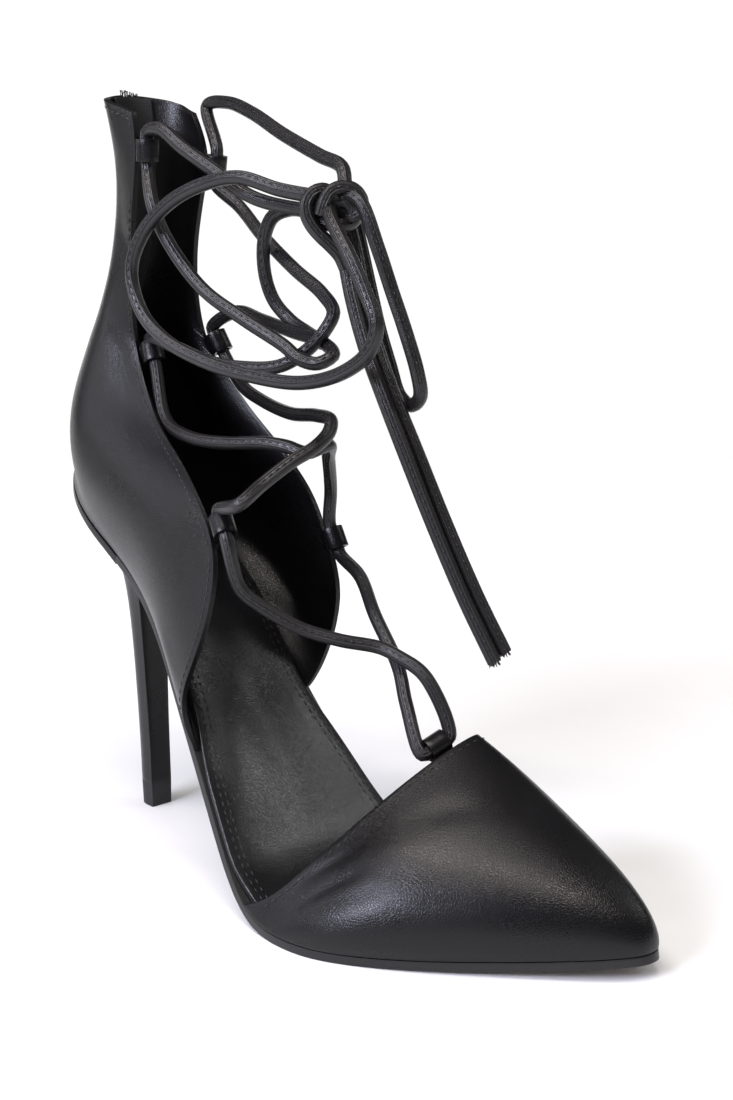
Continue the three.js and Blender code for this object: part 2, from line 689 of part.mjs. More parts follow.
// Point of the vamp: u from the topline to the toe, v from the outer edge over the ridge to the inner edge.
function vampPoint(u, v, depth) {
  const feet = VAMP_FEET.getPoint(u);
  const ridge = VAMP_RIDGE.getPoint(u);
  const outerSide = v < 0.5;
  const row = footbedAt(outerSide ? feet.x : feet.y);
  const tuck = Math.min(depth, (row.outer + row.inner) / 2);
  const footY = outerSide ? -(row.outer - tuck) : row.inner - tuck;
  const footX = outerSide ? feet.x : feet.y;
  const sweep = v * Math.PI;
  const power = 2 / feet.z;
  const rise = Math.sin(sweep) ** power;
  const spread = Math.abs(Math.cos(sweep)) ** power;
  const forward = Math.sin(sweep) ** TOPLINE_LEAN;
  const top = Math.max(ridge.z - depth, row.z);
  const pull = depth * u ** 4;
  return vec(
    lerp(footX, ridge.x, forward) - pull,
    lerp(ridge.y, footY, spread),
    lerp(row.z + GAP, top + GAP, rise),
  );
}

function vamp() {
  const face = (depth) => grid(18, 20, (u, v) => vampPoint(u, v, depth));
  addPiece('vamp', shellGeometry(face(0), face(VAMP_WALL)), LEATHER);
}

// The lace loops: a folded strap whose ends lie inside the edge and whose fold stands clear of it

// Side view of a loop: x runs away from the edge, y outward from the wall.
function loopProfile(wall) {
  const radius = LOOP_HOLE_RADIUS + LOOP_STRAP;
  const under = -(wall + GAP);
  const foot = under - LOOP_STRAP;
  const shape = new THREE.Shape();
  const from = Math.PI + Math.asin((-LOOP_DROP - foot) / radius);
  const to = Math.PI + Math.asin((-LOOP_DROP - under) / radius) + 2 * Math.PI;
  shape.moveTo(-LOOP_STEM, under);
  shape.lineTo(-LOOP_STEM, foot);
  for (let i = 0; i <= LOOP_SIDES; i++) {
    const a = lerp(from, to, i / LOOP_SIDES);
    shape.lineTo(LOOP_REACH + radius * Math.cos(a), -LOOP_DROP + radius * Math.sin(a));
  }
  shape.closePath();
  const hole = Array.from({ length: LOOP_SIDES }, (_, i) => {
    const a = (-2 * Math.PI * i) / LOOP_SIDES;
    const x = LOOP_REACH + LOOP_HOLE_RADIUS * Math.cos(a);
    return new THREE.Vector2(x, -LOOP_DROP + LOOP_HOLE_RADIUS * Math.sin(a));
  });
  shape.holes.push(new THREE.Path(hole));
  return shape;
}

// A loop at an edge: its fold follows the edge's own directions, and the ends of its strap
// follow the wall, which inWall gives from a distance back, one along the edge and a depth.
function loopGeometry({ edge, away, across, out }, wall, inWall) {
  const geometry = new THREE.ExtrudeGeometry(loopProfile(wall), { depth: LOOP_WIDTH, bevelEnabled: false });
  geometry.translate(0, 0, -LOOP_WIDTH / 2);
  const position = geometry.attributes.position;
  for (let i = 0; i < position.count; i++) {
    const [a, n, e] = [position.getX(i), position.getY(i), position.getZ(i)];
    const free = edge.clone().addScaledVector(away, a).addScaledVector(out, n).addScaledVector(across, e);
    const point = a < 0 ? inWall(-a, e, -n) : free;
    position.setXYZ(i, point.x, point.y, point.z);
  }
  return closedFrom(geometry);
}

// Directions at a point of an edge: away from the wall, along the edge, and outward.
function frameOf(edge, away, along, out) {
  const straight = away.clone().addScaledVector(along, -away.dot(along)).normalize();
  const across = straight.clone().cross(out);
  const centre = edge.clone().addScaledVector(straight, LOOP_REACH).addScaledVector(out, -LOOP_DROP);
  return { edge, away: straight, across, out, centre };
}

function edgeFrame({ sign, level }) {
  const { along, up, out } = upperFrame(level, sign);
  return frameOf(upperFace(level, sign), along.multiplyScalar(sign), up, out);
}

function throatFrame() {
  const { v } = THROAT_LOOP;
  const edge = vampPoint(0, v, 0);
  const along = vampPoint(0, v + STEP, 0).sub(vampPoint(0, v - STEP, 0)).normalize();
  const away = edge.clone().sub(vampPoint(STEP, v, 0));
  const out = along.clone().cross(away).normalize();
  return frameOf(edge, away, along, out);
}

function loops() {
  for (const { name, sign, level } of LOOPS) {
    const frame = edgeFrame({ sign, level });
    const levelHeight = upperFace(level + 0.2, sign).distanceTo(upperFace(level - 0.2, sign)) / 0.4;
    const inWall = (back, aside, depth) => {
      const v = sign * (1 - back / sideLength(level, sign));
      return inUpper(level - (sign * -aside) / levelHeight, v, depth);
    };
    addPiece(name, loopGeometry(frame, UPPER_WALL, inWall), LEATHER);
  }
  const rowLength = vampPoint(STEP, THROAT_LOOP.v, 0).distanceTo(vampPoint(0, THROAT_LOOP.v, 0)) / STEP;
  const topline = vampPoint(0, THROAT_LOOP.v + STEP, 0).distanceTo(vampPoint(0, THROAT_LOOP.v, 0)) / STEP;
  const inVamp = (back, aside, depth) => (
    vampPoint(back / rowLength, THROAT_LOOP.v + aside / topline, depth)
  );
  addPiece(THROAT_LOOP.name, loopGeometry(throatFrame(), VAMP_WALL, inVamp), LEATHER);
}

// The zip's slider with its bridge, and the pull that hangs from the bridge

const plate = (width, height, depth) => new THREE.BoxGeometry(width, height, depth);

function slider() {
  const { x, y, z, thickness, halfWidth, halfHeight } = SLIDER;
  const outline = new THREE.Shape();
  outline.moveTo(-halfWidth * 0.55, -halfHeight);
  outline.lineTo(halfWidth * 0.55, -halfHeight);
  outline.lineTo(halfWidth * 0.62, -halfHeight * 0.2);
  outline.lineTo(halfWidth, halfHeight * 0.55);
  outline.lineTo(halfWidth * 0.8, halfHeight);
  outline.lineTo(-halfWidth * 0.8, halfHeight);
  outline.lineTo(-halfWidth, halfHeight * 0.55);
  outline.lineTo(-halfWidth * 0.62, -halfHeight * 0.2);
  outline.closePath();
  const body = new THREE.ExtrudeGeometry(outline, { depth: thickness, bevelEnabled: false });
  body.applyMatrix4(new THREE.Matrix4().makeBasis(vec(0, -1, 0), vec(0, 0, 1), vec(-1, 0, 0)));
  body.translate(x, y, z);
  const face = x - thickness;
  const { halfHeight: rise, reach, bar, width } = BRIDGE;
  const outer = plate(reach + 0.4, width, 2 * rise).translate(face - reach / 2 + 0.2, y, z);
  const opening = plate(reach - bar, width + 2, 2 * (rise - bar)).translate(face - (reach - bar) / 2, y, z);
  const bridge = solidOf(outer).subtract(solidOf(opening));
  addPiece('zip_slider', geometryOf(solidOf(closedFrom(body)).add(bridge)), METAL);
}

function pull() {
  const { thickness, halfWidth, length, eyeWidth, eyeLength, bar, side } = PULL;
  const half = eyeWidth / 2 + side;
  const outline = new THREE.Shape();
  outline.moveTo(-half, bar / 2);
  outline.lineTo(-half, -bar / 2 - eyeLength - 0.5);
  outline.lineTo(-halfWidth * 0.55, -bar / 2 - eyeLength - 2.4);
  outline.lineTo(-halfWidth, 0.8 - length);
  outline.lineTo(-halfWidth * 0.6, -length);
  outline.lineTo(halfWidth * 0.6, -length);
  outline.lineTo(halfWidth, 0.8 - length);
  outline.lineTo(halfWidth * 0.55, -bar / 2 - eyeLength - 2.4);
  outline.lineTo(half, -bar / 2 - eyeLength - 0.5);
  outline.lineTo(half, bar / 2);
  outline.closePath();
  const eye = new THREE.Path();
  eye.moveTo(-eyeWidth / 2, -bar / 2);
  eye.lineTo(-eyeWidth / 2, -bar / 2 - eyeLength);
  eye.lineTo(eyeWidth / 2, -bar / 2 - eyeLength);
  eye.lineTo(eyeWidth / 2, -bar / 2);
  eye.closePath();
  outline.holes.push(eye);
  const geometry = new THREE.ExtrudeGeometry(outline, { depth: thickness, bevelEnabled: false });
  geometry.translate(0, 0, -thickness / 2);
  geometry.applyMatrix4(new THREE.Matrix4().makeBasis(vec(0, -1, 0), vec(0, 0, 1), vec(-1, 0, 0)));
  const hang = SLIDER.x - SLIDER.thickness - (BRIDGE.reach - BRIDGE.bar) / 2;
  geometry.translate(hang, SLIDER.y, SLIDER.z + BRIDGE.halfHeight - BRIDGE.bar - GAP - bar / 2);
  addPiece('zip_pull', closedFrom(geometry), METAL);
}

// The lace: joined runs between the loops, and the knot with its bow loops and ends

function circleShape(radius) {
  const corner = (_, i) => {
    const a = (2 * Math.PI * i) / LACE_SIDES;
    return new THREE.Vector2(radius * Math.cos(a), radius * Math.sin(a));
  };
  return new THREE.Shape(Array.from({ length: LACE_SIDES }, corner));
}

function tubeSolid(points, radius) {
  const path = new THREE.CatmullRomCurve3(points);
  const steps = Math.max(Math.round(path.getLength() / LACE_STEP), 1);
  const options = { steps, extrudePath: path, bevelEnabled: false };
  return solidOf(new THREE.ExtrudeGeometry(circleShape(radius), options));
}

// The two points where a lace leaves a loop, first the one next to the loop.
function loopExit([name, side]) {
  const placed = LOOPS.find((l) => l.name === name);
  const { centre, across } = placed ? edgeFrame(placed) : throatFrame();
  const upward = placed && placed.sign < 0 ? -side : side;
  return LACE_REST.map((d) => centre.clone().addScaledVector(across, upward * (LOOP_WIDTH / 2 + d)));
}

function laceRun({ from, to, through }) {
  const points = through.map((p) => vec(...p));
  if (from) points.unshift(...loopExit(from));
  if (to) points.push(...loopExit(to).reverse());
  return tubeSolid(points, LACE_RADIUS);
}

function laces() {
  const ends = [vec(...KNOT.from), vec(...KNOT.to)];
  const outward = ends[1].clone().sub(ends[0]).normalize();
  const longer = ends.map((end, i) => end.clone().addScaledVector(outward, i ? GAP : -GAP));
  const room = tubeSolid(longer, KNOT.radius + GAP);
  for (const { name, runs } of LACES) {
    const joined = runs.map(laceRun).reduce((all, one) => all.add(one));
    addPiece(name, geometryOf(joined.subtract(room)), LACE);
  }
  addPiece('lace_knot', geometryOf(tubeSolid(ends, KNOT.radius)), LACE);
}

outsole();
insole();
heel();
topLift();
quarter();
zip();
vamp();
loops();
slider();
pull();
laces();

export default shoe;
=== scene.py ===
"""Looks of a black lace up heel: leather, stitching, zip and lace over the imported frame."""
from math import cos, exp, pi, radians, sin

import bmesh
import bpy
from bpy.props import FloatProperty, FloatVectorProperty, PointerProperty
from mathutils import Matrix, Vector
from mathutils.bvhtree import BVHTree
from mathutils.kdtree import KDTree


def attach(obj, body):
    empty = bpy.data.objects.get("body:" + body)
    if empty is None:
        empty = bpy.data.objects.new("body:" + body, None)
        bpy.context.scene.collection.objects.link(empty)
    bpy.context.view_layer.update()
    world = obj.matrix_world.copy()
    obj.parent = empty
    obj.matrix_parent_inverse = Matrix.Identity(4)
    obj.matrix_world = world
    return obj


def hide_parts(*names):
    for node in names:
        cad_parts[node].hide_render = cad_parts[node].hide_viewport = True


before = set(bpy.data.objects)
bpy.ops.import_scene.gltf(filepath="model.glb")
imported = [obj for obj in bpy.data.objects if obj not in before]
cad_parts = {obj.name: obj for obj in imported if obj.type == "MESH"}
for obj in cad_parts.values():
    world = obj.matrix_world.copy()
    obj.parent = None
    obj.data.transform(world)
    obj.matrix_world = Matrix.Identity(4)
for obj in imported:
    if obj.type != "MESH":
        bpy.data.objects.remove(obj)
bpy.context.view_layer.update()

bl_info = {
    "name": "Lace up heel",
    "version": (1, 0, 0),
    "blender": (4, 5, 0),
    "location": "3D View > Sidebar > Lace up heel",
    "description": "Dresses the frame of a lace up heel with leather, stitches, a zip and its lace",
    "category": "Object",
}

MM = 0.001
BODY = "shoe"
PULL_BODY = "pull"

# Middle of the space inside the back part and inside the vamp, to tell outer faces from inner ones
ANKLE_LINE = [(8, 3, 228), (8, 3, 190), (0, 2, 160), (-4, 0, 135), (14, 0, 112), (44, 0, 90), (66, 0, 62)]
TOE_LINE = [(100, 0, 6), (125, 3, 14), (150, 9, 14), (175, 16, 10), (190, 18, 8)]

# Soft troughs of the vamp, worked in while the shoe was lasted: ends, depth and half width
VAMP_CREASES = [
    {"start": (116, -33, 16), "end": (131, -23, 28.5), "depth": 0.5, "width": 1.1},
    {"start": (119, -37, 12), "end": (136, -27, 24), "depth": 0.55, "width": 1.3},
    {"start": (119, -37, 13), "end": (128, -37, 13), "depth": 0.35, "width": 1.2},
    {"start": (126, -35, 13), "end": (144, -28, 21), "depth": 0.35, "width": 2.0},
    {"start": (112, -31, 18), "end": (150, -16, 31), "depth": -0.35, "width": 4.0},
    {"start": (138, -12, 35), "end": (150, 2, 38), "depth": 0.45, "width": 4.0},
    {"start": (150, 30, 20), "end": (160, 24, 30), "depth": 0.3, "width": 2.6},
]
# Dish and pulled folds of the insole under the foot
INSOLE_CREASES = [
    {"start": (36, -4, 80), "end": (110, -6, 8), "depth": 1.3, "width": 6.0},
    {"start": (48, 9, 66), "end": (104, 12, 10), "depth": -0.5, "width": 3.5},
    {"start": (56, -17, 56), "end": (112, -24, 8), "depth": -0.35, "width": 3.0},
    {"start": (20, -19, 96), "end": (118, -27, 6), "depth": -0.9, "width": 5.0},
    {"start": (20, 12, 96), "end": (118, 20, 6), "depth": -0.7, "width": 6.0},
]
# The same for the back part: along the counter, under the collar and at the low front corner
QUARTER_CREASES = [
    {"start": (-12, -16, 128), "end": (26, -23, 112), "depth": 0.5, "width": 5.0},
    {"start": (0, -11, 158), "end": (16, -12, 146), "depth": 0.45, "width": 3.5},
    {"start": (8, -11, 172), "end": (16, -10, 168), "depth": 0.4, "width": 2.6},
    {"start": (3, -9, 190), "end": (15, -10, 184), "depth": 0.3, "width": 3.0},
    {"start": (50, -31, 76), "end": (66, -33, 60), "depth": -0.5, "width": 3.0},
    {"start": (44, 24, 98), "end": (62, 25, 84), "depth": 0.4, "width": 4.0},
]

# Centres of the lace loops and the way up through each
LOOP_HOLES = {
    "outer_low": {"centre": (77.61, -26.01, 108.47), "up": (-0.64, 0.23, 0.73)},
    "outer_middle": {"centre": (18.04, -6.06, 151.87), "up": (-0.51, 0.16, 0.85)},
    "outer_top": {"centre": (25.47, -10.21, 212.2), "up": (0.07, -0.02, 1)},
    "inner_low": {"centre": (68.44, 22.87, 96.54), "up": (-0.44, -0.02, 0.9)},
    "inner_middle": {"centre": (19.25, 18.39, 153.66), "up": (-0.44, -0.15, 0.89)},
    "inner_top": {"centre": (23.8, 15.93, 207.82), "up": (0.18, 0.01, 0.98)},
    "throat": {"centre": (126.93, 8.3, 48.01), "up": (0.17, 0.92, 0.37)},
}
LOOP_HALF_WIDTH = 3.2

# The one lace from the knot through every loop and back. A row names a loop and the way
# through it (1 up, -1 down), or holds the points of the free run to the next loop.
LACE_RUNS = [
    [(101.5, -1.5, 198.5), (94, -4, 195), (79.5, -3, 195.5), (67, -5, 198.5), (54, -8, 206), (42.5, -10, 212.5),
     (33.5, -11, 218)],
    ("outer_top", -1),
    [(31, -13, 196.5), (36, -12, 186.5), (48.5, -9, 172.5), (64, -6, 164), (77.5, -2.5, 157), (83, -1.5, 153.5),
     (89.5, 0, 152.5), (91, 4, 154.5), (82, 8, 157.5), (65, 11, 159.5), (47, 14, 162), (29, 18, 163.5)],
    ("inner_middle", -1),
    [(32.5, 17, 141), (44.5, 15, 137.5), (65, 10, 135.5), (80, 7, 136.5), (88.5, 5, 136), (91.5, 1.5, 133),
     (92.5, -5, 129.5), (91.5, -12, 126.5), (89.5, -21, 121), (89.5, -29, 116.5)],
    ("outer_low", -1),
    [(82, -24, 91), (85, -19, 85.5), (91, -10, 78.5), (99, -2, 75), (106.5, 6, 72.8), (112, 8.2, 70.8),
     (120, 11, 66)],
    ("throat", -1),
    [(117, 6.5, 58), (110, 10, 67), (96, 14, 79), (83, 20, 87.5)],
    ("inner_low", 1),
    [(68, 22, 111), (79, 12, 123.5), (89, 3, 129.2), (87, -3, 127.5), (81, -5.5, 129), (73, -8, 129.5),
     (60, -11, 128.5), (45.5, -13, 129), (30.5, -11, 133)],
    ("outer_middle", 1),
    [(38, -11.5, 155), (47.5, -8, 151.5), (60, -5, 150), (74, -1, 151), (81, 3, 155.5), (86.5, 5.5, 161.5),
     (87, 8, 166), (80, 10, 171), (65.5, 12, 177.5), (47, 15, 187), (32.5, 18, 195.5)],
    ("inner_top", 1),
    [(13.5, 21, 226), (28, 18, 226.5), (45, 14, 222.5), (65.5, 9, 215.5), (86, 5, 209), (97.5, 3, 205.5),
     (101.5, 0.5, 200.5)],
]
SLACK_RUN = [(98, -1, 196), (84, 4, 194), (70, 7, 194.5), (60.5, 8, 192), (56.5, 8, 185.5), (55.5, 9, 175.5),
             (57, 11, 168), (62, 13, 162.5), (70, 12.4, 159.6), (78, 9.4, 158.2), (82.5, 7.4, 157.3)]

# The bow: centre lines from the knot, as they hang
BOW_CORDS = {
    "bow_loop_large": {
        "far_end": "object",
        "facing": (0.5, -0.7, 0.5),
        "points": [(97.5, -3, 197.5), (81.5, -6, 200), (69, -10, 203.5), (57, -13, 202), (44, -16, 197),
                   (32.5, -18, 188), (27.5, -19, 177.5), (31.5, -19, 166), (41.5, -18, 158), (57, -15, 152),
                   (73.5, -12, 149), (92, -9, 148), (109.5, -8, 152), (120, -8, 158.5), (122.5, -8, 165),
                   (118.5, -8, 173), (112.5, -8.5, 183), (103, -6, 192), (98.5, -3, 195.5)],
    },
    "bow_loop_small": {
        "far_end": "object",
        "facing": (0.8, -0.5, 0.2),
        "points": [(102, 1, 198), (106.5, 1.2, 196.5), (111.5, 3, 184), (114.5, 5, 173), (118.5, 6, 162.5), (122, 7, 151.5),
                   (121.5, 8.5, 145), (116, 10, 142), (111, 10.5, 144.5), (108.5, 9.5, 152.5), (104.5, 9.5, 162),
                   (100.5, 10, 172.5), (96.5, 10.5, 183.5), (94, 10, 193)],
    },
    "lace_end_a": {
        "far_end": "bare",
        "facing": (0.75, -0.65, 0.1),
        "points": [(98, -2, 195), (99, 1.5, 182.5), (103, 1, 170.5), (108.5, 0.5, 158), (115.5, 0.5, 145),
                   (122, 2.5, 129.5), (127.5, 7, 111), (134.5, 12, 90.5), (142, 16, 73.5)],
    },
    "lace_end_b": {
        "far_end": "bare",
        "facing": (0.9, -0.4, 0.1),
        "points": [(95, 5.5, 195.5), (99, 6, 183), (102.5, 5.5, 171), (107.5, 5, 159.5), (114, 5, 146.5),
                   (121, 7, 131), (128, 11, 111.5), (135, 16, 91.5), (142, 20, 75.5)],
    },
}

# The knot's turns, seen from the front: right, up and towards the viewer from its centre
KNOT_CENTRE = (98.6, -1.4, 195.6)
KNOT_TURNS = {
    "front": [(3.1, -16.2, -4.1), (1.6, -13, -3.4), (-0.9, -10.4, -1.8), (-3.6, -8, -0.2), (-5.9, -5.2, 0.5), (-7.1, -2.4, 1.0), (-7.0, 0.6, 1.5), (-5.0, 3.2, 1.6), (-2.2, 3.9, 0.8),
              (-0.2, 2.2, -1.0), (1.4, -0.8, -1.9), (4, -3.0, -1), (7.0, -2.2, 0.6), (7.6, 0.8, 1.4),
              (5.6, 3.6, 2), (2.4, 4.2, 2.6), (-0.6, 2.8, 3.2), (-2.2, 0.2, 3.2), (-3.2, -3.0, 2.2)],
    "middle": [(-4.6, 0.4, -0.6), (-2.4, 0.8, 0.6), (0.4, 1.0, 0.9), (3.2, 0.9, 1.2), (5.0, -0.6, 0.8), (5.0, -2.4, -0.6)],
    "back": [(7.4, 3.0, -2.6), (7.0, -1, -2.9), (4.6, -4.4, -2), (1.2, -5.2, -0.2), (-2, -4.6, -1.4),
             (-4.8, -2.6, -3), (-6.6, 0.6, -3)],
}

IMAGE_RIGHT = Vector((0.667, 0.745, 0.0))
IMAGE_UP = Vector((-0.152, 0.136, 0.979))
IMAGE_NEAR = Vector((0.729, -0.653, 0.204))


class LaceHeelSizes(bpy.types.PropertyGroup):
    lace_diameter: FloatProperty(
        name="Lace diameter", description="Width of the round lace", default=4 * MM, unit="LENGTH"
    )
    stitch_length: FloatProperty(
        name="Stitch length", description="Visible length of one stitch", default=1.9 * MM, unit="LENGTH"
    )
    stitch_pitch: FloatProperty(
        name="Stitch pitch", description="Distance from one stitch to the next", default=2.7 * MM, unit="LENGTH"
    )
    edge_margin: FloatProperty(
        name="Edge margin", description="Distance of the stitch row from an edge", default=2.0 * MM, unit="LENGTH"
    )
    tooth_pitch: FloatProperty(
        name="Tooth pitch", description="Distance between two teeth of the zip", default=1.25 * MM, unit="LENGTH"
    )
    floor_size: FloatProperty(
        name="Floor size", description="Width of the floor", default=1.8, unit="LENGTH"
    )


class LaceHeelColours(bpy.types.PropertyGroup):
    leather: FloatVectorProperty(
        name="Leather", description="Colour of the upper", subtype="COLOR", size=4, default=(0.0026, 0.0023, 0.0027, 1)
    )
    insole: FloatVectorProperty(
        name="Insole", description="Colour of the insole", subtype="COLOR", size=4, default=(0.0055, 0.0053, 0.0055, 1)
    )
    lace: FloatVectorProperty(
        name="Lace", description="Colour of the lace", subtype="COLOR", size=4, default=(0.0085, 0.0076, 0.0078, 1)
    )
    thread: FloatVectorProperty(
        name="Thread", description="Colour of the stitches", subtype="COLOR", size=4, default=(0.011, 0.0105, 0.012, 1)
    )
    sole: FloatVectorProperty(
        name="Sole", description="Colour of the sole's underside", subtype="COLOR", size=4, default=(0.2, 0.165, 0.14, 1)
    )
    metal: FloatVectorProperty(
        name="Metal", description="Colour of the slider and pull", subtype="COLOR", size=4, default=(0.06, 0.06, 0.068, 1)
    )
    floor: FloatVectorProperty(
        name="Floor", description="Colour of the floor", subtype="COLOR", size=4, default=(0.93, 0.93, 0.935, 1)
    )


def mm(point):
    return Vector(point) * MM


# Materials


def node_group(name, inputs, outputs):
    group = bpy.data.node_groups.new(name, "ShaderNodeTree")
    for label, kind, value in inputs:
        socket = group.interface.new_socket(name=label, in_out="INPUT", socket_type=kind)
        socket.default_value = value
    for label, kind in outputs:
        group.interface.new_socket(name=label, in_out="OUTPUT", socket_type=kind)
    ends = group.nodes.new("NodeGroupInput"), group.nodes.new("NodeGroupOutput")
    return group, *ends


def math_node(tree, operation, a, b=None, c=None):
    node = tree.nodes.new("ShaderNodeMath")
    node.operation = operation
    for socket, value in zip(node.inputs, (a, b, c)):
        if value is None:
            continue
        if isinstance(value, (int, float)):
            socket.default_value = value
        else:
            tree.links.new(value, socket)
    return node.outputs[0]


def grain_group():
    """Fine leather grain with pores and a soft unevenness: height, roughness and a tone mask."""
    group, given, out = node_group(
        "leather_grain",
        [
            ("Vector", "NodeSocketVector", (0, 0, 0)),
            ("Grain Scale", "NodeSocketFloat", 1100.0),
            ("Grain Depth", "NodeSocketFloat", 0.5),
            ("Roughness", "NodeSocketFloat", 0.4),
        ],
        [("Height", "NodeSocketFloat"), ("Roughness", "NodeSocketFloat"), ("Tone", "NodeSocketFloat")],
    )
    link = group.links.new
    cells = group.nodes.new("ShaderNodeTexVoronoi")
    cells.feature = "DISTANCE_TO_EDGE"
    link(given.outputs["Vector"], cells.inputs["Vector"])
    link(given.outputs["Grain Scale"], cells.inputs["Scale"])
    pebble = math_node(group, "MINIMUM", math_node(group, "MULTIPLY", cells.outputs["Distance"], 5.0), 1.0)
    fine = group.nodes.new("ShaderNodeTexNoise")
    fine.inputs["Scale"].default_value = 2600.0
    fine.inputs["Detail"].default_value = 3.0
    link(given.outputs["Vector"], fine.inputs["Vector"])
    broad = group.nodes.new("ShaderNodeTexNoise")
    broad.inputs["Scale"].default_value = 42.0
    broad.inputs["Detail"].default_value = 4.0
    link(given.outputs["Vector"], broad.inputs["Vector"])
    grain = math_node(group, "MULTIPLY_ADD", pebble, 0.6, math_node(group, "MULTIPLY", fine.outputs[0], 0.5))
    height = math_node(group, "MULTIPLY", grain, given.outputs["Grain Depth"])
    height = math_node(group, "MULTIPLY_ADD", broad.outputs[0], 0.9, height)
    shift = math_node(group, "MULTIPLY_ADD", broad.outputs[0], 0.22, -0.11)
    dull = math_node(group, "MULTIPLY_ADD", pebble, -0.07, math_node(group, "ADD", shift, 0.05))
    rough = math_node(group, "ADD", given.outputs["Roughness"], dull)
    link(height, out.inputs["Height"])
    link(rough, out.inputs["Roughness"])
    link(broad.outputs[0], out.inputs["Tone"])
    return group


def new_material(name):
    material = bpy.data.materials.new(name + "_finish")
    material.use_nodes = True
    return material, material.node_tree, material.node_tree.nodes["Principled BSDF"]


def object_vector(tree):
    return tree.nodes.new("ShaderNodeTexCoord").outputs["Object"]


def mixed(tree, mask, low, high):
    node = tree.nodes.new("ShaderNodeMix")
    node.data_type = "RGBA"
    tree.links.new(mask, node.inputs[0])
    node.inputs[6].default_value = low
    node.inputs[7].default_value = high
    return node.outputs[2]


def scaled(colour, factor):
    return tuple(min(c * factor, 1.0) for c in colour[:3]) + (1.0,)


def bumped(tree, shader, height, strength, distance):
    bump = tree.nodes.new("ShaderNodeBump")
    bump.inputs["Strength"].default_value = strength
    bump.inputs["Distance"].default_value = distance
    tree.links.new(height, bump.inputs["Height"])
    tree.links.new(bump.outputs["Normal"], shader.inputs["Normal"])


LEATHERS = {
    "upper_leather": {"grain": 1500.0, "depth": 0.7, "rough": 0.31, "coat": 0.02, "bump": 0.24, "gloss": 0.3},
    "insole_leather": {"grain": 1700.0, "depth": 0.35, "rough": 0.22, "coat": 0.12, "bump": 0.3, "gloss": 0.36},
    "lining_leather": {"grain": 900.0, "depth": 0.4, "rough": 0.7, "coat": 0.0, "bump": 0.22, "gloss": 0.14},
    "heel_leather": {"grain": 1700.0, "depth": 0.3, "rough": 0.3, "coat": 0.06, "bump": 0.25, "gloss": 0.22},
    "lace_leather": {"grain": 1900.0, "depth": 0.5, "rough": 0.36, "coat": 0.06, "bump": 0.3, "gloss": 0.38},
}


def leather(name, colour, group):
    spec = LEATHERS[name]
    material, tree, shader = new_material(name)
    grain = tree.nodes.new("ShaderNodeGroup")
    grain.node_tree = group
    tree.links.new(object_vector(tree), grain.inputs["Vector"])
    grain.inputs["Grain Scale"].default_value = spec["grain"]
    grain.inputs["Grain Depth"].default_value = spec["depth"]
    grain.inputs["Roughness"].default_value = spec["rough"]
    tone = mixed(tree, grain.outputs["Tone"], scaled(colour, 0.75), scaled(colour, 1.5))
    tree.links.new(tone, shader.inputs["Base Color"])
    tree.links.new(grain.outputs["Roughness"], shader.inputs["Roughness"])
    shader.inputs["Coat Weight"].default_value = spec["coat"]
    shader.inputs["Coat Roughness"].default_value = 0.28
    shader.inputs["Specular IOR Level"].default_value = spec["gloss"]
    shader.inputs["Coat Tint"].default_value = (0.86, 0.88, 1.0, 1.0)
    bumped(tree, shader, grain.outputs["Height"], spec["bump"], 0.35 * MM)
    return material


def rubber(name, colour, rough, speck):
    material, tree, shader = new_material(name)
    noise = tree.nodes.new("ShaderNodeTexNoise")
    noise.inputs["Scale"].default_value = speck
    noise.inputs["Detail"].default_value = 5.0
    tree.links.new(object_vector(tree), noise.inputs["Vector"])
    tree.links.new(mixed(tree, noise.outputs[0], scaled(colour, 0.7), scaled(colour, 1.25)), shader.inputs["Base Color"])
    tree.links.new(math_node(tree, "MULTIPLY_ADD", noise.outputs[0], 0.2, rough - 0.1), shader.inputs["Roughness"])
    bumped(tree, shader, noise.outputs[0], 0.25, 0.15 * MM)
    return material


def woven(name, colour):
    """Zip tape: fine ribs along and across the band."""
    material, tree, shader = new_material(name)
    source = object_vector(tree)
    ribs = []
    for direction, scale in (("Z", 560.0), ("Y", 700.0)):
        wave = tree.nodes.new("ShaderNodeTexWave")
        wave.bands_direction = direction
        wave.inputs["Scale"].default_value = scale
        wave.inputs["Distortion"].default_value = 0.6
        tree.links.new(source, wave.inputs["Vector"])
        ribs.append(wave.outputs["Fac"])
    weave = math_node(tree, "MULTIPLY", ribs[0], ribs[1])
    tree.links.new(mixed(tree, weave, scaled(colour, 0.6), scaled(colour, 1.9)), shader.inputs["Base Color"])
    tree.links.new(math_node(tree, "MULTIPLY_ADD", weave, -0.15, 0.85), shader.inputs["Roughness"])
    bumped(tree, shader, weave, 0.5, 0.15 * MM)
    return material


def dark_metal(name, colour):
    material, tree, shader = new_material(name)
    noise = tree.nodes.new("ShaderNodeTexNoise")
    noise.inputs["Scale"].default_value = 700.0
    noise.inputs["Detail"].default_value = 6.0
    tree.links.new(object_vector(tree), noise.inputs["Vector"])
    tree.links.new(mixed(tree, noise.outputs[0], scaled(colour, 0.7), scaled(colour, 1.6)), shader.inputs["Base Color"])
    tree.links.new(math_node(tree, "MULTIPLY_ADD", noise.outputs[0], 0.16, 0.2), shader.inputs["Roughness"])
    shader.inputs["Metallic"].default_value = 1.0
    bumped(tree, shader, noise.outputs[0], 0.08, 0.05 * MM)
    return material


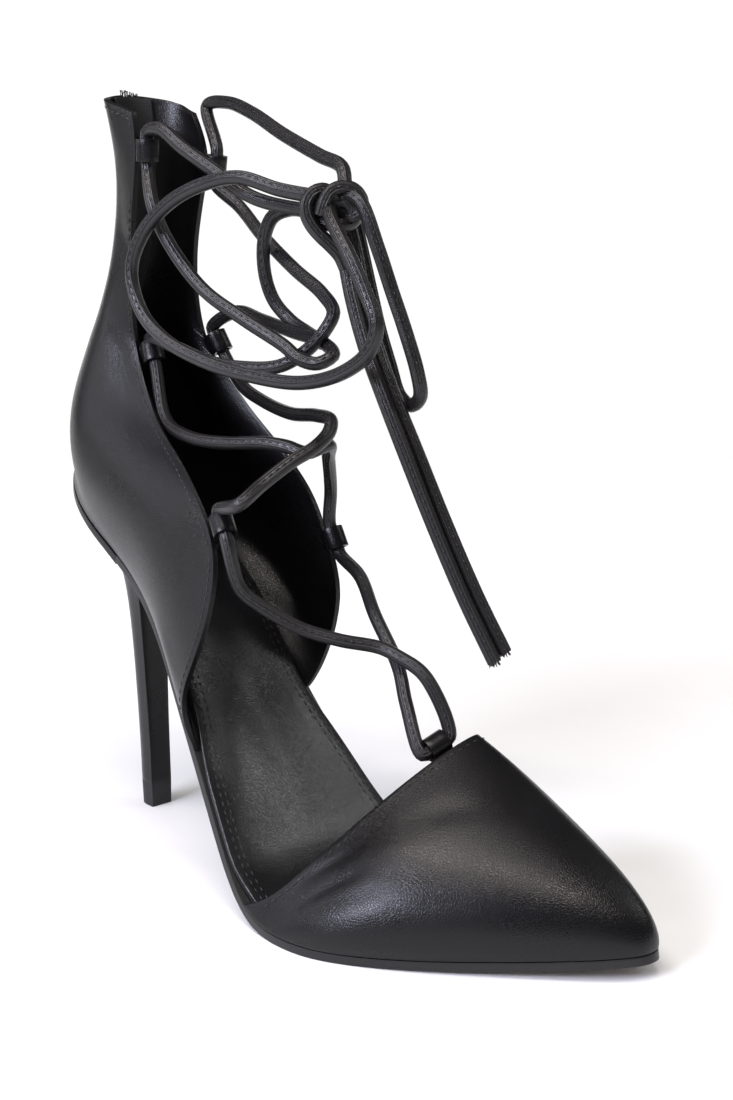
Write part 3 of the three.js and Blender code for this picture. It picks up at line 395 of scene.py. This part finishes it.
def looks():
    """Every material by name, made once."""
    if "upper_leather_finish" in bpy.data.materials:
        return bpy.data.materials
    colours = bpy.context.scene.lace_heel_colours
    group = grain_group()
    leather("upper_leather", colours.leather, group)
    leather("heel_leather", colours.leather, group)
    leather("insole_leather", colours.insole, group)
    leather("lining_leather", scaled(colours.insole, 0.8), group)
    leather("lace_leather", colours.lace, group)
    rubber("sole_rubber", colours.sole, 0.72, 900.0)
    rubber("edge_paint", scaled(colours.leather, 1.2), 0.42, 1400.0)
    rubber("lift_rubber", scaled(colours.leather, 1.6), 0.6, 1600.0)
    rubber("glue_line", (0.3, 0.29, 0.27, 1), 0.5, 900.0)
    rubber("thread", colours.thread, 0.5, 4000.0)
    # Thread of the lace seams: its own colour darkened far down, as painted shade of deep stitch holes
    rubber("painted_shade_thread", scaled(colours.thread, 0.15), 0.7, 4000.0)
    rubber("tape_thread", scaled(colours.thread, 0.3), 0.8, 4000.0)
    rubber("tooth_nylon", scaled(colours.leather, 1.5), 0.38, 2500.0)
    woven("zip_tape", scaled(colours.leather, 1.3))
    dark_metal("slider_metal", colours.metal)
    return bpy.data.materials


# Shapes


def finish_piece(name, data, materials, body=BODY, replaced=(), smooth=True):
    piece = bpy.data.objects.new(name, data)
    bpy.context.scene.collection.objects.link(piece)
    data.materials.clear()
    for material in materials:
        data.materials.append(looks()[material + "_finish"])
    if smooth:
        data.polygons.foreach_set("use_smooth", [True] * len(data.polygons))
    data.update()
    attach(piece, body)
    if replaced:
        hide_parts(*replaced)
    return piece


def mesh_of(bm, name):
    data = bpy.data.meshes.new(name)
    bm.to_mesh(data)
    bm.free()
    return data


def merged_copy(node, crease_over=50.0):
    """The node's mesh with its triangles joined to quads and its sharp edges creased."""
    bm = bmesh.new()
    bm.from_mesh(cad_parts[node].data)
    bmesh.ops.remove_doubles(bm, verts=bm.verts, dist=0.01 * MM)
    bmesh.ops.join_triangles(
        bm, faces=bm.faces, angle_face_threshold=radians(35), angle_shape_threshold=radians(60)
    )
    crease = bm.edges.layers.float.new("crease_edge")
    for edge in bm.edges:
        if edge.calc_face_angle(0.0) > radians(crease_over):
            edge[crease] = 1.0
    return bm


def baked(data, *modifiers):
    """The mesh with modifiers of the given kinds and settings applied."""
    carrier = bpy.data.objects.new("carrier", data)
    bpy.context.scene.collection.objects.link(carrier)
    for kind, settings in modifiers:
        modifier = carrier.modifiers.new(kind, kind)
        for key, value in settings.items():
            setattr(modifier, key, value)
    graph = bpy.context.evaluated_depsgraph_get()
    result = bpy.data.meshes.new_from_object(carrier.evaluated_get(graph))
    bpy.data.objects.remove(carrier)
    return result


def smoothed(node, levels, round_edges, crease_over=50.0):
    """A smooth fine copy of a node, its sharp edges rounded by a small bevel."""
    data = baked(
        mesh_of(merged_copy(node, crease_over), node),
        ("SUBSURF", {"levels": levels, "render_levels": levels}),
    )
    bm = bmesh.new()
    bm.from_mesh(data)
    sharp = [e for e in bm.edges if e.calc_face_angle(0.0) > radians(crease_over)]
    if round_edges:
        bmesh.ops.bevel(
            bm, geom=sharp, offset=round_edges, offset_type="OFFSET", affect="EDGES",
            segments=2, profile=0.5, material=-1, clamp_overlap=True,
        )
    return bm


def distance_to(point, start, end):
    along = end - start
    share = min(max((point - start).dot(along) / along.length_squared, 0.0), 1.0)
    return (point - start - along * share).length, share


def away_from(line):
    """A function that gives the direction from the nearest point of a line of points."""
    points = [mm(p) for p in line]

    def outward(place):
        best = None
        for a, b in zip(points, points[1:]):
            distance, share = distance_to(place, a, b)
            if best is None or distance < best[0]:
                best = (distance, a.lerp(b, share))
        return (place - best[1]).normalized()

    return outward


def press_creases(bm, creases, outward):
    for crease in creases:
        start, end = mm(crease["start"]), mm(crease["end"])
        width = crease["width"] * MM
        for vert in bm.verts:
            distance, share = distance_to(vert.co, start, end)
            if distance > 4 * width:
                continue
            fade = sin(pi * min(max(0.08 + 0.84 * share, 0.0), 1.0))
            depth = crease["depth"] * MM * exp(-((distance / width) ** 2)) * fade
            vert.co -= outward(vert.co) * depth


def line_inside(bm, outward):
    """Gives the faces that look inward the second material."""
    bm.normal_update()
    for face in bm.faces:
        face.material_index = int(face.normal.dot(outward(face.calc_center_median())) < -0.05)


def rim_runs(node, outward, least):
    """Runs of (point, direction into the surface) along the sharp edges of a node's outer side."""
    data = baked(
        mesh_of(merged_copy(node), node + "_rim"),
        ("SUBSURF", {"levels": 1, "render_levels": 1}),
    )
    bm = bmesh.new()
    bm.from_mesh(data)
    bm.normal_update()
    chosen = {}
    for edge in bm.edges:
        if edge.calc_face_angle(0.0) < radians(50) or len(edge.link_faces) != 2:
            continue
        middle = (edge.verts[0].co + edge.verts[1].co) / 2
        out = outward(middle)
        face = max(edge.link_faces, key=lambda f: f.normal.dot(out))
        if face.normal.dot(out) < 0.4 or (face.calc_center_median() - middle).length < least:
            continue
        inward = face.normal.cross((edge.verts[1].co - edge.verts[0].co).normalized())
        if inward.dot(face.calc_center_median() - middle) < 0:
            inward.negate()
        chosen[edge] = inward
    runs = []
    left = dict(chosen)
    while left:
        edge = next(iter(left))
        del left[edge]
        run = [(v.co.copy(), chosen[edge]) for v in edge.verts]
        for end, place in ((edge.verts[1], "append"), (edge.verts[0], "insert")):
            vert = end
            while True:
                following = next((e for e in vert.link_edges if e in left), None)
                if following is None:
                    break
                del left[following]
                vert = following.other_vert(vert)
                item = (vert.co.copy(), chosen[following])
                run.append(item) if place == "append" else run.insert(0, item)
        runs.append(run)
    tree = BVHTree.FromBMesh(bm)
    bm.free()
    return runs, tree


def evenly(points, pitch):
    """Points at an even distance along a polyline, with the direction there."""
    result = []
    carried = pitch / 2
    for a, b in zip(points, points[1:]):
        length = (b - a).length
        while carried <= length and length > 0:
            result.append((a.lerp(b, carried / length), (b - a).normalized()))
            carried += pitch
        carried -= length
    return result


def add_stitches(bm, row, normal_at, lift=0.06 * MM, size=(0.5, 0.24, 0.15)):
    """One small pill of thread for each place of a row."""
    sizes = bpy.context.scene.lace_heel_sizes
    for place, along in row:
        normal = normal_at(place)
        across = normal.cross(along)
        if across.length < 0.1:
            continue
        across.normalize()
        normal = along.cross(across)
        turn = Matrix((along, across, normal)).transposed().to_4x4()
        scale = Matrix.Diagonal((sizes.stitch_length * size[0], size[1] * MM, size[2] * MM, 1))
        shift = Matrix.Translation(place + normal * lift)
        bmesh.ops.create_icosphere(bm, subdivisions=1, radius=1.0, matrix=shift @ turn @ scale)


def inset_row(run, surface, margin):
    """The row that lies a margin inside an edge, on the surface."""
    row = []
    for point, inward in run:
        found, _, _, _ = surface.find_nearest(point + inward * margin)
        row.append(found)
    for _ in range(2):
        row = [row[0]] + [(a + 2 * b + c) / 4 for a, b, c in zip(row, row[1:], row[2:])] + [row[-1]]
    return row


def mesh_surface(*meshes):
    bm = bmesh.new()
    for data in meshes:
        bm.from_mesh(data)
    tree = BVHTree.FromBMesh(bm)
    bm.free()
    return tree


def stitch_edges(bm, node, piece, outward, rows, keep, least=0.5 * MM):
    """Rows of stitches along the edges of a node, laid on the finished piece."""
    runs, surface = rim_runs(node, outward, least)
    finished = mesh_surface(piece.data)
    pitch = bpy.context.scene.lace_heel_sizes.stitch_pitch
    for run in runs:
        for margin in rows:
            kept = [(p, d) for p, d in run if keep(p)]
            if len(kept) < 4:
                continue
            row = inset_row(kept, surface, margin)
            places = [(finished.find_nearest(place)[0], along) for place, along in evenly(row, pitch)]
            add_stitches(bm, places, lambda p: finished.find_nearest(p)[1])


def curve_points(points, step=1.2 * MM):
    """A smooth line through points, sampled finely, with even spacing in time by chord length."""
    points = [Vector(p) for p in points]
    padded = [2 * points[0] - points[1], *points, 2 * points[-1] - points[-2]]
    result = []
    for p0, p1, p2, p3 in zip(padded, padded[1:], padded[2:], padded[3:]):
        d0, d1, d2 = (max((b - a).length ** 0.5, 1e-5) for a, b in ((p0, p1), (p1, p2), (p2, p3)))
        start = ((p1 - p0) / d0 - (p2 - p0) / (d0 + d1) + (p2 - p1) / d1) * d1
        end = ((p2 - p1) / d1 - (p3 - p1) / (d1 + d2) + (p3 - p2) / d2) * d1
        count = max(int((p2 - p1).length / step), 1)
        for i in range(count):
            u = i / count
            result.append(
                p1 + start * u + (3 * (p2 - p1) - 2 * start - end) * u**2 + (2 * (p1 - p2) + start + end) * u**3
            )
    result.append(points[-1])
    return result


def tube(name, points, radius, sides=3):
    """A round mesh tube along a line of points."""
    curve = bpy.data.curves.new(name, "CURVE")
    curve.dimensions = "3D"
    curve.twist_mode = "MINIMUM"
    curve.bevel_depth = radius
    curve.bevel_resolution = sides
    curve.use_fill_caps = True
    spline = curve.splines.new("POLY")
    spline.points.add(len(points) - 1)
    for place, point in zip(spline.points, points):
        place.co = (*point, 1.0)
    carrier = bpy.data.objects.new(name, curve)
    bpy.context.scene.collection.objects.link(carrier)
    graph = bpy.context.evaluated_depsgraph_get()
    data = bpy.data.meshes.new_from_object(carrier.evaluated_get(graph))
    bpy.data.objects.remove(carrier)
    return data


def seam_side(points, lean):
    """For each point of a lace the direction in which its seam looks, square to the lace."""
    result = []
    facing = Vector(lean).normalized()
    for i, point in enumerate(points):
        along = (points[min(i + 1, len(points) - 1)] - points[max(i - 1, 0)]).normalized()
        side = facing - along * facing.dot(along)
        if side.length < 0.25 and result:
            side = result[-1] - along * result[-1].dot(along)
        side.normalize()
        if result:
            side = (result[-1] * 0.8 + side * 0.2).normalized()
        result.append(side)
    return result


def add_tube(bm, points, radius, sides):
    data = tube("bit", points, radius, sides)
    bm.from_mesh(data)
    bpy.data.meshes.remove(data)


def lace_seam(name, lines, replaced=()):
    """Two fine ridges with a row of stitches between them, along each lace; the stitches are darkened as painted shade
    of their holes.
    """
    sizes = bpy.context.scene.lace_heel_sizes
    radius = sizes.lace_diameter / 2
    bm = bmesh.new()
    for points, lean in lines:
        sides = seam_side(points, lean)
        for turn in (-0.42, 0.42):
            ridge = []
            for i, (point, side) in enumerate(zip(points, sides)):
                along = (points[min(i + 1, len(points) - 1)] - points[max(i - 1, 0)]).normalized()
                across = along.cross(side)
                ridge.append(point + (side * cos(turn) + across * sin(turn)) * (radius - 0.08 * MM))
            add_tube(bm, ridge, 0.36 * MM, 1)
        tree = KDTree(len(points))
        for i, point in enumerate(points):
            tree.insert(point, i)
        tree.balance()
        middle = [p + s * radius for p, s in zip(points, sides)]
        places = evenly(middle, sizes.stitch_pitch * 0.9)
        ridges = len(bm.faces)
        add_stitches(bm, places, lambda p: (p - tree.find(p)[0]).normalized(), lift=0.05 * MM, size=(0.4, 0.26, 0.16))
        # The stitches take the darkened thread: painted shade of the stitch holes
        bm.faces.ensure_lookup_table()
        for face in bm.faces[ridges:]:
            face.material_index = 1
    return finish_piece(name, mesh_of(bm, name), ["lace_leather", "painted_shade_thread"], replaced=replaced)


# Operators


def raise_if(problem, message):
    if problem:
        raise RuntimeError(message)


def camera_place():
    yaw, pitch, roll = radians(138.18), radians(11.79), radians(-0.84)
    ahead = Vector((cos(yaw) * cos(pitch), sin(yaw) * cos(pitch), -sin(pitch)))
    level = Vector((sin(yaw), -cos(yaw), 0.0))
    rise = level.cross(ahead)
    right = level * cos(roll) + rise * sin(roll)
    up = rise * cos(roll) - level * sin(roll)
    turn = Matrix((right, up, -ahead)).transposed().to_4x4()
    return Matrix.Translation(mm((443.7, -300.0, 196.1))) @ turn


class LACE_HEEL_OT_camera(bpy.types.Operator):
    """Places the camera at the photographed angle"""

    bl_idname = "lace_heel.camera"
    bl_label = "Camera"

    def execute(self, context):
        data = bpy.data.cameras.new("camera")
        data.sensor_fit = "VERTICAL"
        data.sensor_height = 36.0
        data.lens = 54.42
        data.clip_start = 0.01
        data.clip_end = 50.0
        camera = bpy.data.objects.new("camera", data)
        camera.matrix_world = camera_place()
        context.scene.collection.objects.link(camera)
        context.scene.camera = camera
        return {"FINISHED"}


def loop_pass(name, way):
    """Points of the lace straight through a loop, up or down."""
    hole = LOOP_HOLES[name]
    centre, up = Vector(hole["centre"]), Vector(hole["up"]).normalized()
    reach = LOOP_HALF_WIDTH + 1.6
    return [centre - up * reach * way, centre, centre + up * reach * way]


def threaded_line():
    points = []
    for run in LACE_RUNS:
        points += loop_pass(*run) if isinstance(run, tuple) else [Vector(p) for p in run]
    return curve_points([p * MM for p in points])


def knot_line(turns):
    centre = mm(KNOT_CENTRE)
    return curve_points(
        [centre + (IMAGE_RIGHT * x + IMAGE_UP * y + IMAGE_NEAR * z) * MM for x, y, z in turns], 0.6 * MM
    )


class LACE_HEEL_OT_laces(bpy.types.Operator):
    """Makes the lace: threaded through the loops, with a knot, two bow loops and two ends"""

    bl_idname = "lace_heel.laces"
    bl_label = "Laces"

    def execute(self, context):
        radius = context.scene.lace_heel_sizes.lace_diameter / 2
        knot_bm = bmesh.new()
        knot_lines = [knot_line(turns) for turns in KNOT_TURNS.values()]
        for line in knot_lines:
            add_tube(knot_bm, line, radius, 4)
        knot = finish_piece(
            "knot", mesh_of(knot_bm, "knot"), ["lace_leather"], replaced=("lace_knot",)
        )
        knot_seam = lace_seam("knot_seams", [(line, IMAGE_NEAR) for line in knot_lines])
        for name, row in BOW_CORDS.items():
            path = curve_points([mm(p) for p in row["points"]])
            data = tube(name, path, radius, 4)
            piece = finish_piece(name + "_cord", data, ["lace_leather"], replaced=(name,))
            extra = [lace_seam(name + "_seams", [(path, row["facing"])])]
            if row["far_end"] == "bare":
                extra.append(self.frayed(name + "_fray", path, radius))
            if name == "lace_end_a":
                extra += [knot, knot_seam]
        line, slack = threaded_line(), curve_points([mm(p) for p in SLACK_RUN])
        bm = bmesh.new()
        add_tube(bm, line, radius, 4)
        add_tube(bm, slack, radius, 4)
        finish_piece(
            "lace_threaded", mesh_of(bm, "lace_threaded"), ["lace_leather"],
            replaced=("lace_front", "lace_cross_low", "lace_cross_high", "lace_top_outer", "lace_top_inner"),
        )
        lace_seam("lace_threaded_seams", [(line, (0.6, -0.7, 0.4)), (slack, (0.6, -0.7, 0.4))])
        return {"FINISHED"}

    def frayed(self, name, path, radius):
        """Short cut fibres at a bare end."""
        end, along = path[-1], (path[-1] - path[-4]).normalized()
        side = along.orthogonal().normalized()
        bm = bmesh.new()
        for i in range(22):
            angle = i * 2.399
            reach = radius * 0.85 * ((i + 0.5) / 22) ** 0.5
            across = (Matrix.Rotation(angle, 3, along) @ side) * reach
            tip = (0.7 + 0.5 * sin(i * 5.1)) * MM
            add_tube(
                bm, [end + across - along * MM * 0.6, end + across + along * tip * 0.6,
                     end + across * 1.15 + along * tip], 0.14 * MM, 1,
            )
        return finish_piece(name, mesh_of(bm, name), ["thread"])


def dress(name, node, outward, materials, levels=2, round_edges=0.35 * MM, creases=(), body=BODY):
    """A smooth finished copy of a node that stands for it."""
    bm = smoothed(node, levels, round_edges)
    press_creases(bm, creases, outward)
    if len(materials) > 1:
        line_inside(bm, outward)
    return finish_piece(name, mesh_of(bm, name), materials, body, replaced=(node,))


def upward(place):
    return Vector((0.0, 0.0, 1.0))


def node_surface(*nodes):
    return mesh_surface(*(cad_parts[node].data for node in nodes))


def clear_of(surface, distance):
    return lambda p: surface.find_nearest(p)[3] > distance


class LACE_HEEL_OT_upper(bpy.types.Operator):
    """Dresses the back part and the vamp in leather, with their lining, creases and stitches"""

    bl_idname = "lace_heel.upper"
    bl_label = "Upper"

    def execute(self, context):
        margin = context.scene.lace_heel_sizes.edge_margin
        around, over = away_from(ANKLE_LINE), away_from(TOE_LINE)
        leathers = ["upper_leather", "lining_leather"]
        quarter = dress("quarter_leather", "quarter", around, leathers, creases=QUARTER_CREASES)
        vamp = dress("vamp_leather", "vamp", over, leathers, creases=VAMP_CREASES)
        off_sole = clear_of(node_surface("outsole", "insole", "heel"), 3.2 * MM)
        tape = node_surface("zip_tape")
        bm = bmesh.new()

        def beside_zip(place):
            return tape.find_nearest(place)[3] < 2.6 * MM and place.z < 0.224

        stitch_edges(bm, "quarter", quarter, around, [margin], lambda p: off_sole(p) and not beside_zip(p))
        stitch_edges(bm, "quarter", quarter, around, [margin * 1.4], beside_zip, 0.05 * MM)
        stitch_edges(bm, "vamp", vamp, over, [margin], off_sole, 0.2 * MM)
        raise_if(not bm.verts, "the upper has no edges to stitch")
        finish_piece("upper_stitches", mesh_of(bm, "upper_stitches"), ["thread"])
        return {"FINISHED"}


# The sole's back end is tucked against the heel's front
SOLE_END = 16.4 * MM
TUCK = Vector((-0.9, 0.0, 0.6)) * MM


class LACE_HEEL_OT_soles(bpy.types.Operator):
    """Dresses the insole, outsole, heel and top lift"""

    bl_idname = "lace_heel.soles"
    bl_label = "Soles and heel"

    def execute(self, context):
        insole = dress(
            "insole_leather", "insole", upward, ["insole_leather"], round_edges=0.3 * MM,
            creases=INSOLE_CREASES,
        )
        sole = dress("outsole_leather", "outsole", upward, ["edge_paint", "sole_rubber"])
        for vert in sole.data.vertices:
            if vert.co.x < SOLE_END:
                vert.co += TUCK
        for face in sole.data.polygons:
            face.material_index = int(face.normal.z < -0.5)
        dress("heel_cover", "heel", upward, ["heel_leather"], round_edges=0.25 * MM)
        dress("top_lift", "heel_top_lift", upward, ["lift_rubber"], round_edges=0.2 * MM)
        bm = bmesh.new()
        stitch_edges(bm, "insole", insole, upward, [2.4 * MM, 4.2 * MM], lambda p: True)
        finish_piece("insole_stitches", mesh_of(bm, "insole_stitches"), ["thread"])
        return {"FINISHED"}


class LACE_HEEL_OT_loops(bpy.types.Operator):
    """Dresses the seven leather loops that carry the lace"""

    bl_idname = "lace_heel.loops"
    bl_label = "Lace loops"

    def execute(self, context):
        for name in LOOP_HOLES:
            node = "loop_" + name
            dress(node + "_strap", node, upward, ["heel_leather"], round_edges=0.3 * MM)
        return {"FINISHED"}


def coil_line():
    """Rings of the zip's coil from its foot up: middle, way out and way across."""
    places = {tuple(round(c, 5) for c in v.co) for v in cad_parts["zip_coil"].data.vertices}
    places = sorted((Vector(p) for p in places), key=lambda p: p.z)
    rings = []
    for i in range(0, len(places) - 3, 4):
        ring = sorted(places[i:i + 4], key=lambda p: p.x)
        middle = sum(ring, Vector()) / 4
        across = Vector((0.0, max(p.y for p in ring) - min(p.y for p in ring), 0.0)).normalized()
        rings.append((middle, (ring[0] + ring[1] - ring[2] - ring[3]).normalized(), across))
    return rings


TAPE_TOP = {"inner": (-3.6, 6.5, 228.8), "middle": (-3.9, 3.2, 229.0), "outer": (-2.6, 0.0, 228.8)}


class LACE_HEEL_OT_zip(bpy.types.Operator):
    """Makes the zip: woven tape, coil teeth, slider and pull"""

    bl_idname = "lace_heel.zip"
    bl_label = "Zip"

    def execute(self, context):
        pitch = context.scene.lace_heel_sizes.tooth_pitch
        around = away_from(ANKLE_LINE)
        dress("tape", "zip_tape", around, ["zip_tape"], round_edges=0.1 * MM)
        self.fibres()
        rings = coil_line()
        bm = bmesh.new()
        line = curve_points([ring[0] for ring in rings], 0.8 * MM)
        tree = KDTree(len(rings))
        for i, ring in enumerate(rings):
            tree.insert(ring[0], i)
        tree.balance()
        for side in (-1, 1):
            shift = pitch * 0.25 * side
            for place, along in evenly(line, pitch):
                _, out, across = rings[tree.find(place)[1]]
                out = (out - along * out.dot(along)).normalized()
                across = out.cross(along)
                turn = Matrix((along, across, out)).transposed().to_4x4()
                scale = Matrix.Diagonal((0.46 * MM, 1.15 * MM, 0.62 * MM, 1))
                centre = place + across * side * 0.8 * MM + along * shift
                bmesh.ops.create_icosphere(
                    bm, subdivisions=2, radius=1.0, matrix=Matrix.Translation(centre) @ turn @ scale
                )
        for side in (-1, 1):
            row = [p + rings[tree.find(p)[1]][2] * side * 1.9 * MM for p in line]
            add_tube(bm, row, 0.3 * MM, 1)
        finish_piece("coil_teeth", mesh_of(bm, "coil_teeth"), ["tooth_nylon"], replaced=("zip_coil",))
        dress("slider", "zip_slider", upward, ["slider_metal"], levels=1, round_edges=0.3 * MM)
        dress(
            "pull", "zip_pull", upward, ["slider_metal"], levels=1, round_edges=0.2 * MM,
            body=PULL_BODY,
        )
        return {"FINISHED"}

    def fibres(self):
        """Loose ends of the woven tape above the collar."""
        row = curve_points([mm(p) for p in TAPE_TOP.values()], 0.16 * MM)
        bm = bmesh.new()
        for i, place in enumerate(row):
            lean = Vector((sin(i * 2.4), cos(i * 1.7), 0)) * (0.5 + 0.4 * sin(i * 0.9)) * MM
            rise = Vector((0, 0, (1.6 + 0.9 * sin(i * 3.1)) * MM))
            add_tube(bm, [place - Vector((0, 0, MM)), place + rise * 0.6 + lean * 0.4, place + rise + lean], 0.12 * MM, 1)
        finish_piece("tape_fibres", mesh_of(bm, "tape_fibres"), ["tape_thread"])


SOFTBOXES = [
    {"name": "cool_side", "place": (0.02, -1.17, 0.7), "aim": (0.12, 0, 0.05), "size": (0.65, 0.35), "power": 26.0,
     "colour": (0.8, 0.82, 1.0)},
    {"name": "far_side", "place": (-0.9, -0.74, 0.48), "aim": (0.02, 0, 0.14), "size": (0.3, 0.5), "power": 1.7,
     "colour": (0.95, 0.95, 1.0)},
    {"name": "warm_strip", "place": (0.2, -0.38, 1.3), "aim": (0.12, 0, 0.03), "size": (1.3, 0.12), "power": 18.0,
     "colour": (1.0, 0.93, 0.88)},
    {"name": "inner_side", "place": (0.73, 0.8, 0.83), "aim": (0.07, 0, 0.04), "size": (0.14, 0.3), "power": 1.7,
     "colour": (1.0, 1.0, 0.98)},
    {"name": "backdrop", "place": (-1.25, 1.12, 0.3), "aim": (0.0, 0, 0.15), "size": (2.4, 0.7), "power": 8.0,
     "colour": (1.0, 1.0, 1.0)},
]


class LACE_HEEL_OT_stage(bpy.types.Operator):
    """Sets the pale floor, the white surroundings and the soft studio lights"""

    bl_idname = "lace_heel.stage"
    bl_label = "Stage"

    def execute(self, context):
        scene = context.scene
        bm = bmesh.new()
        bmesh.ops.create_circle(bm, cap_ends=True, segments=96, radius=scene.lace_heel_sizes.floor_size)
        data = mesh_of(bm, "floor")
        material, tree, shader = new_material("floor_paper")
        noise = tree.nodes.new("ShaderNodeTexNoise")
        noise.inputs["Scale"].default_value = 60.0
        tree.links.new(object_vector(tree), noise.inputs["Vector"])
        colour = scene.lace_heel_colours.floor
        reach = tree.nodes.new("ShaderNodeVectorMath")
        reach.operation = "LENGTH"
        tree.links.new(object_vector(tree), reach.inputs[0])
        outward = math_node(tree, "SMOOTH_MIN", math_node(tree, "MULTIPLY", reach.outputs["Value"], 1.1), 1.0, 0.2)
        outward = math_node(tree, "MULTIPLY_ADD", noise.outputs[0], 0.03, outward)
        tree.links.new(mixed(tree, outward, scaled(colour, 0.56), scaled(colour, 1.04)), shader.inputs["Base Color"])
        glow = tree.nodes.new("ShaderNodeEmission")
        blend = tree.nodes.new("ShaderNodeMixShader")
        fade = tree.nodes.new("ShaderNodeMapRange")
        fade.interpolation_type = "SMOOTHSTEP"
        fade.inputs["From Min"].default_value = 0.35
        fade.inputs["From Max"].default_value = 0.8
        tree.links.new(reach.outputs["Value"], fade.inputs["Value"])
        tree.links.new(fade.outputs["Result"], blend.inputs[0])
        tree.links.new(shader.outputs[0], blend.inputs[1])
        tree.links.new(glow.outputs[0], blend.inputs[2])
        tree.links.new(blend.outputs[0], tree.nodes["Material Output"].inputs["Surface"])
        shader.inputs["Roughness"].default_value = 0.85
        data.materials.append(material)
        floor = bpy.data.objects.new("floor", data)
        scene.collection.objects.link(floor)
        scene.world = self.surroundings()
        for row in SOFTBOXES:
            light = bpy.data.lights.new(row["name"], "AREA")
            light.shape = "RECTANGLE"
            light.size, light.size_y = row["size"]
            light.energy = row["power"]
            light.color = row["colour"]
            lamp = bpy.data.objects.new(row["name"], light)
            place, aim = Vector(row["place"]), Vector(row["aim"])
            lamp.matrix_world = Matrix.Translation(place) @ (aim - place).to_track_quat("-Z", "Y").to_matrix().to_4x4()
            lamp.visible_camera = False
            scene.collection.objects.link(lamp)
        scene.view_settings.view_transform = "Standard"
        return {"FINISHED"}

    def surroundings(self):
        """An evenly white room that shows only dimly in glossy surfaces."""
        world = bpy.data.worlds.new("room")
        world.use_nodes = True
        tree = world.node_tree
        background = tree.nodes["Background"]
        path = tree.nodes.new("ShaderNodeLightPath")
        strength = math_node(tree, "MULTIPLY_ADD", path.outputs["Is Glossy Ray"], -0.55, 0.65)
        strength = math_node(tree, "MULTIPLY_ADD", path.outputs["Is Camera Ray"], 0.4, strength)
        tree.links.new(strength, background.inputs["Strength"])
        background.inputs["Color"].default_value = (1.0, 1.0, 1.0, 1.0)
        return world


class LACE_HEEL_PT_panel(bpy.types.Panel):
    bl_label = "Lace up heel"
    bl_idname = "LACE_HEEL_PT_panel"
    bl_space_type = "VIEW_3D"
    bl_region_type = "UI"
    bl_category = "Lace up heel"

    def draw(self, context):
        column = self.layout.column()
        for operator in OPERATORS:
            column.operator(operator.bl_idname)
        for group in (context.scene.lace_heel_sizes, context.scene.lace_heel_colours):
            for name in group.bl_rna.properties.keys():
                if name not in ("rna_type", "name"):
                    column.prop(group, name)


OPERATORS = (
    LACE_HEEL_OT_camera,
    LACE_HEEL_OT_laces,
    LACE_HEEL_OT_upper,
    LACE_HEEL_OT_soles,
    LACE_HEEL_OT_loops,
    LACE_HEEL_OT_zip,
    LACE_HEEL_OT_stage,
)
CLASSES = (LaceHeelSizes, LaceHeelColours, *OPERATORS, LACE_HEEL_PT_panel)


def register():
    for cls in CLASSES:
        bpy.utils.register_class(cls)
    bpy.types.Scene.lace_heel_sizes = PointerProperty(type=LaceHeelSizes)
    bpy.types.Scene.lace_heel_colours = PointerProperty(type=LaceHeelColours)


def unregister():
    del bpy.types.Scene.lace_heel_colours
    del bpy.types.Scene.lace_heel_sizes
    for cls in reversed(CLASSES):
        bpy.utils.unregister_class(cls)


def main():
    register()
    for operator in OPERATORS:
        group, name = operator.bl_idname.split(".")
        getattr(getattr(bpy.ops, group), name)()


if __name__ == "__main__":
    main()
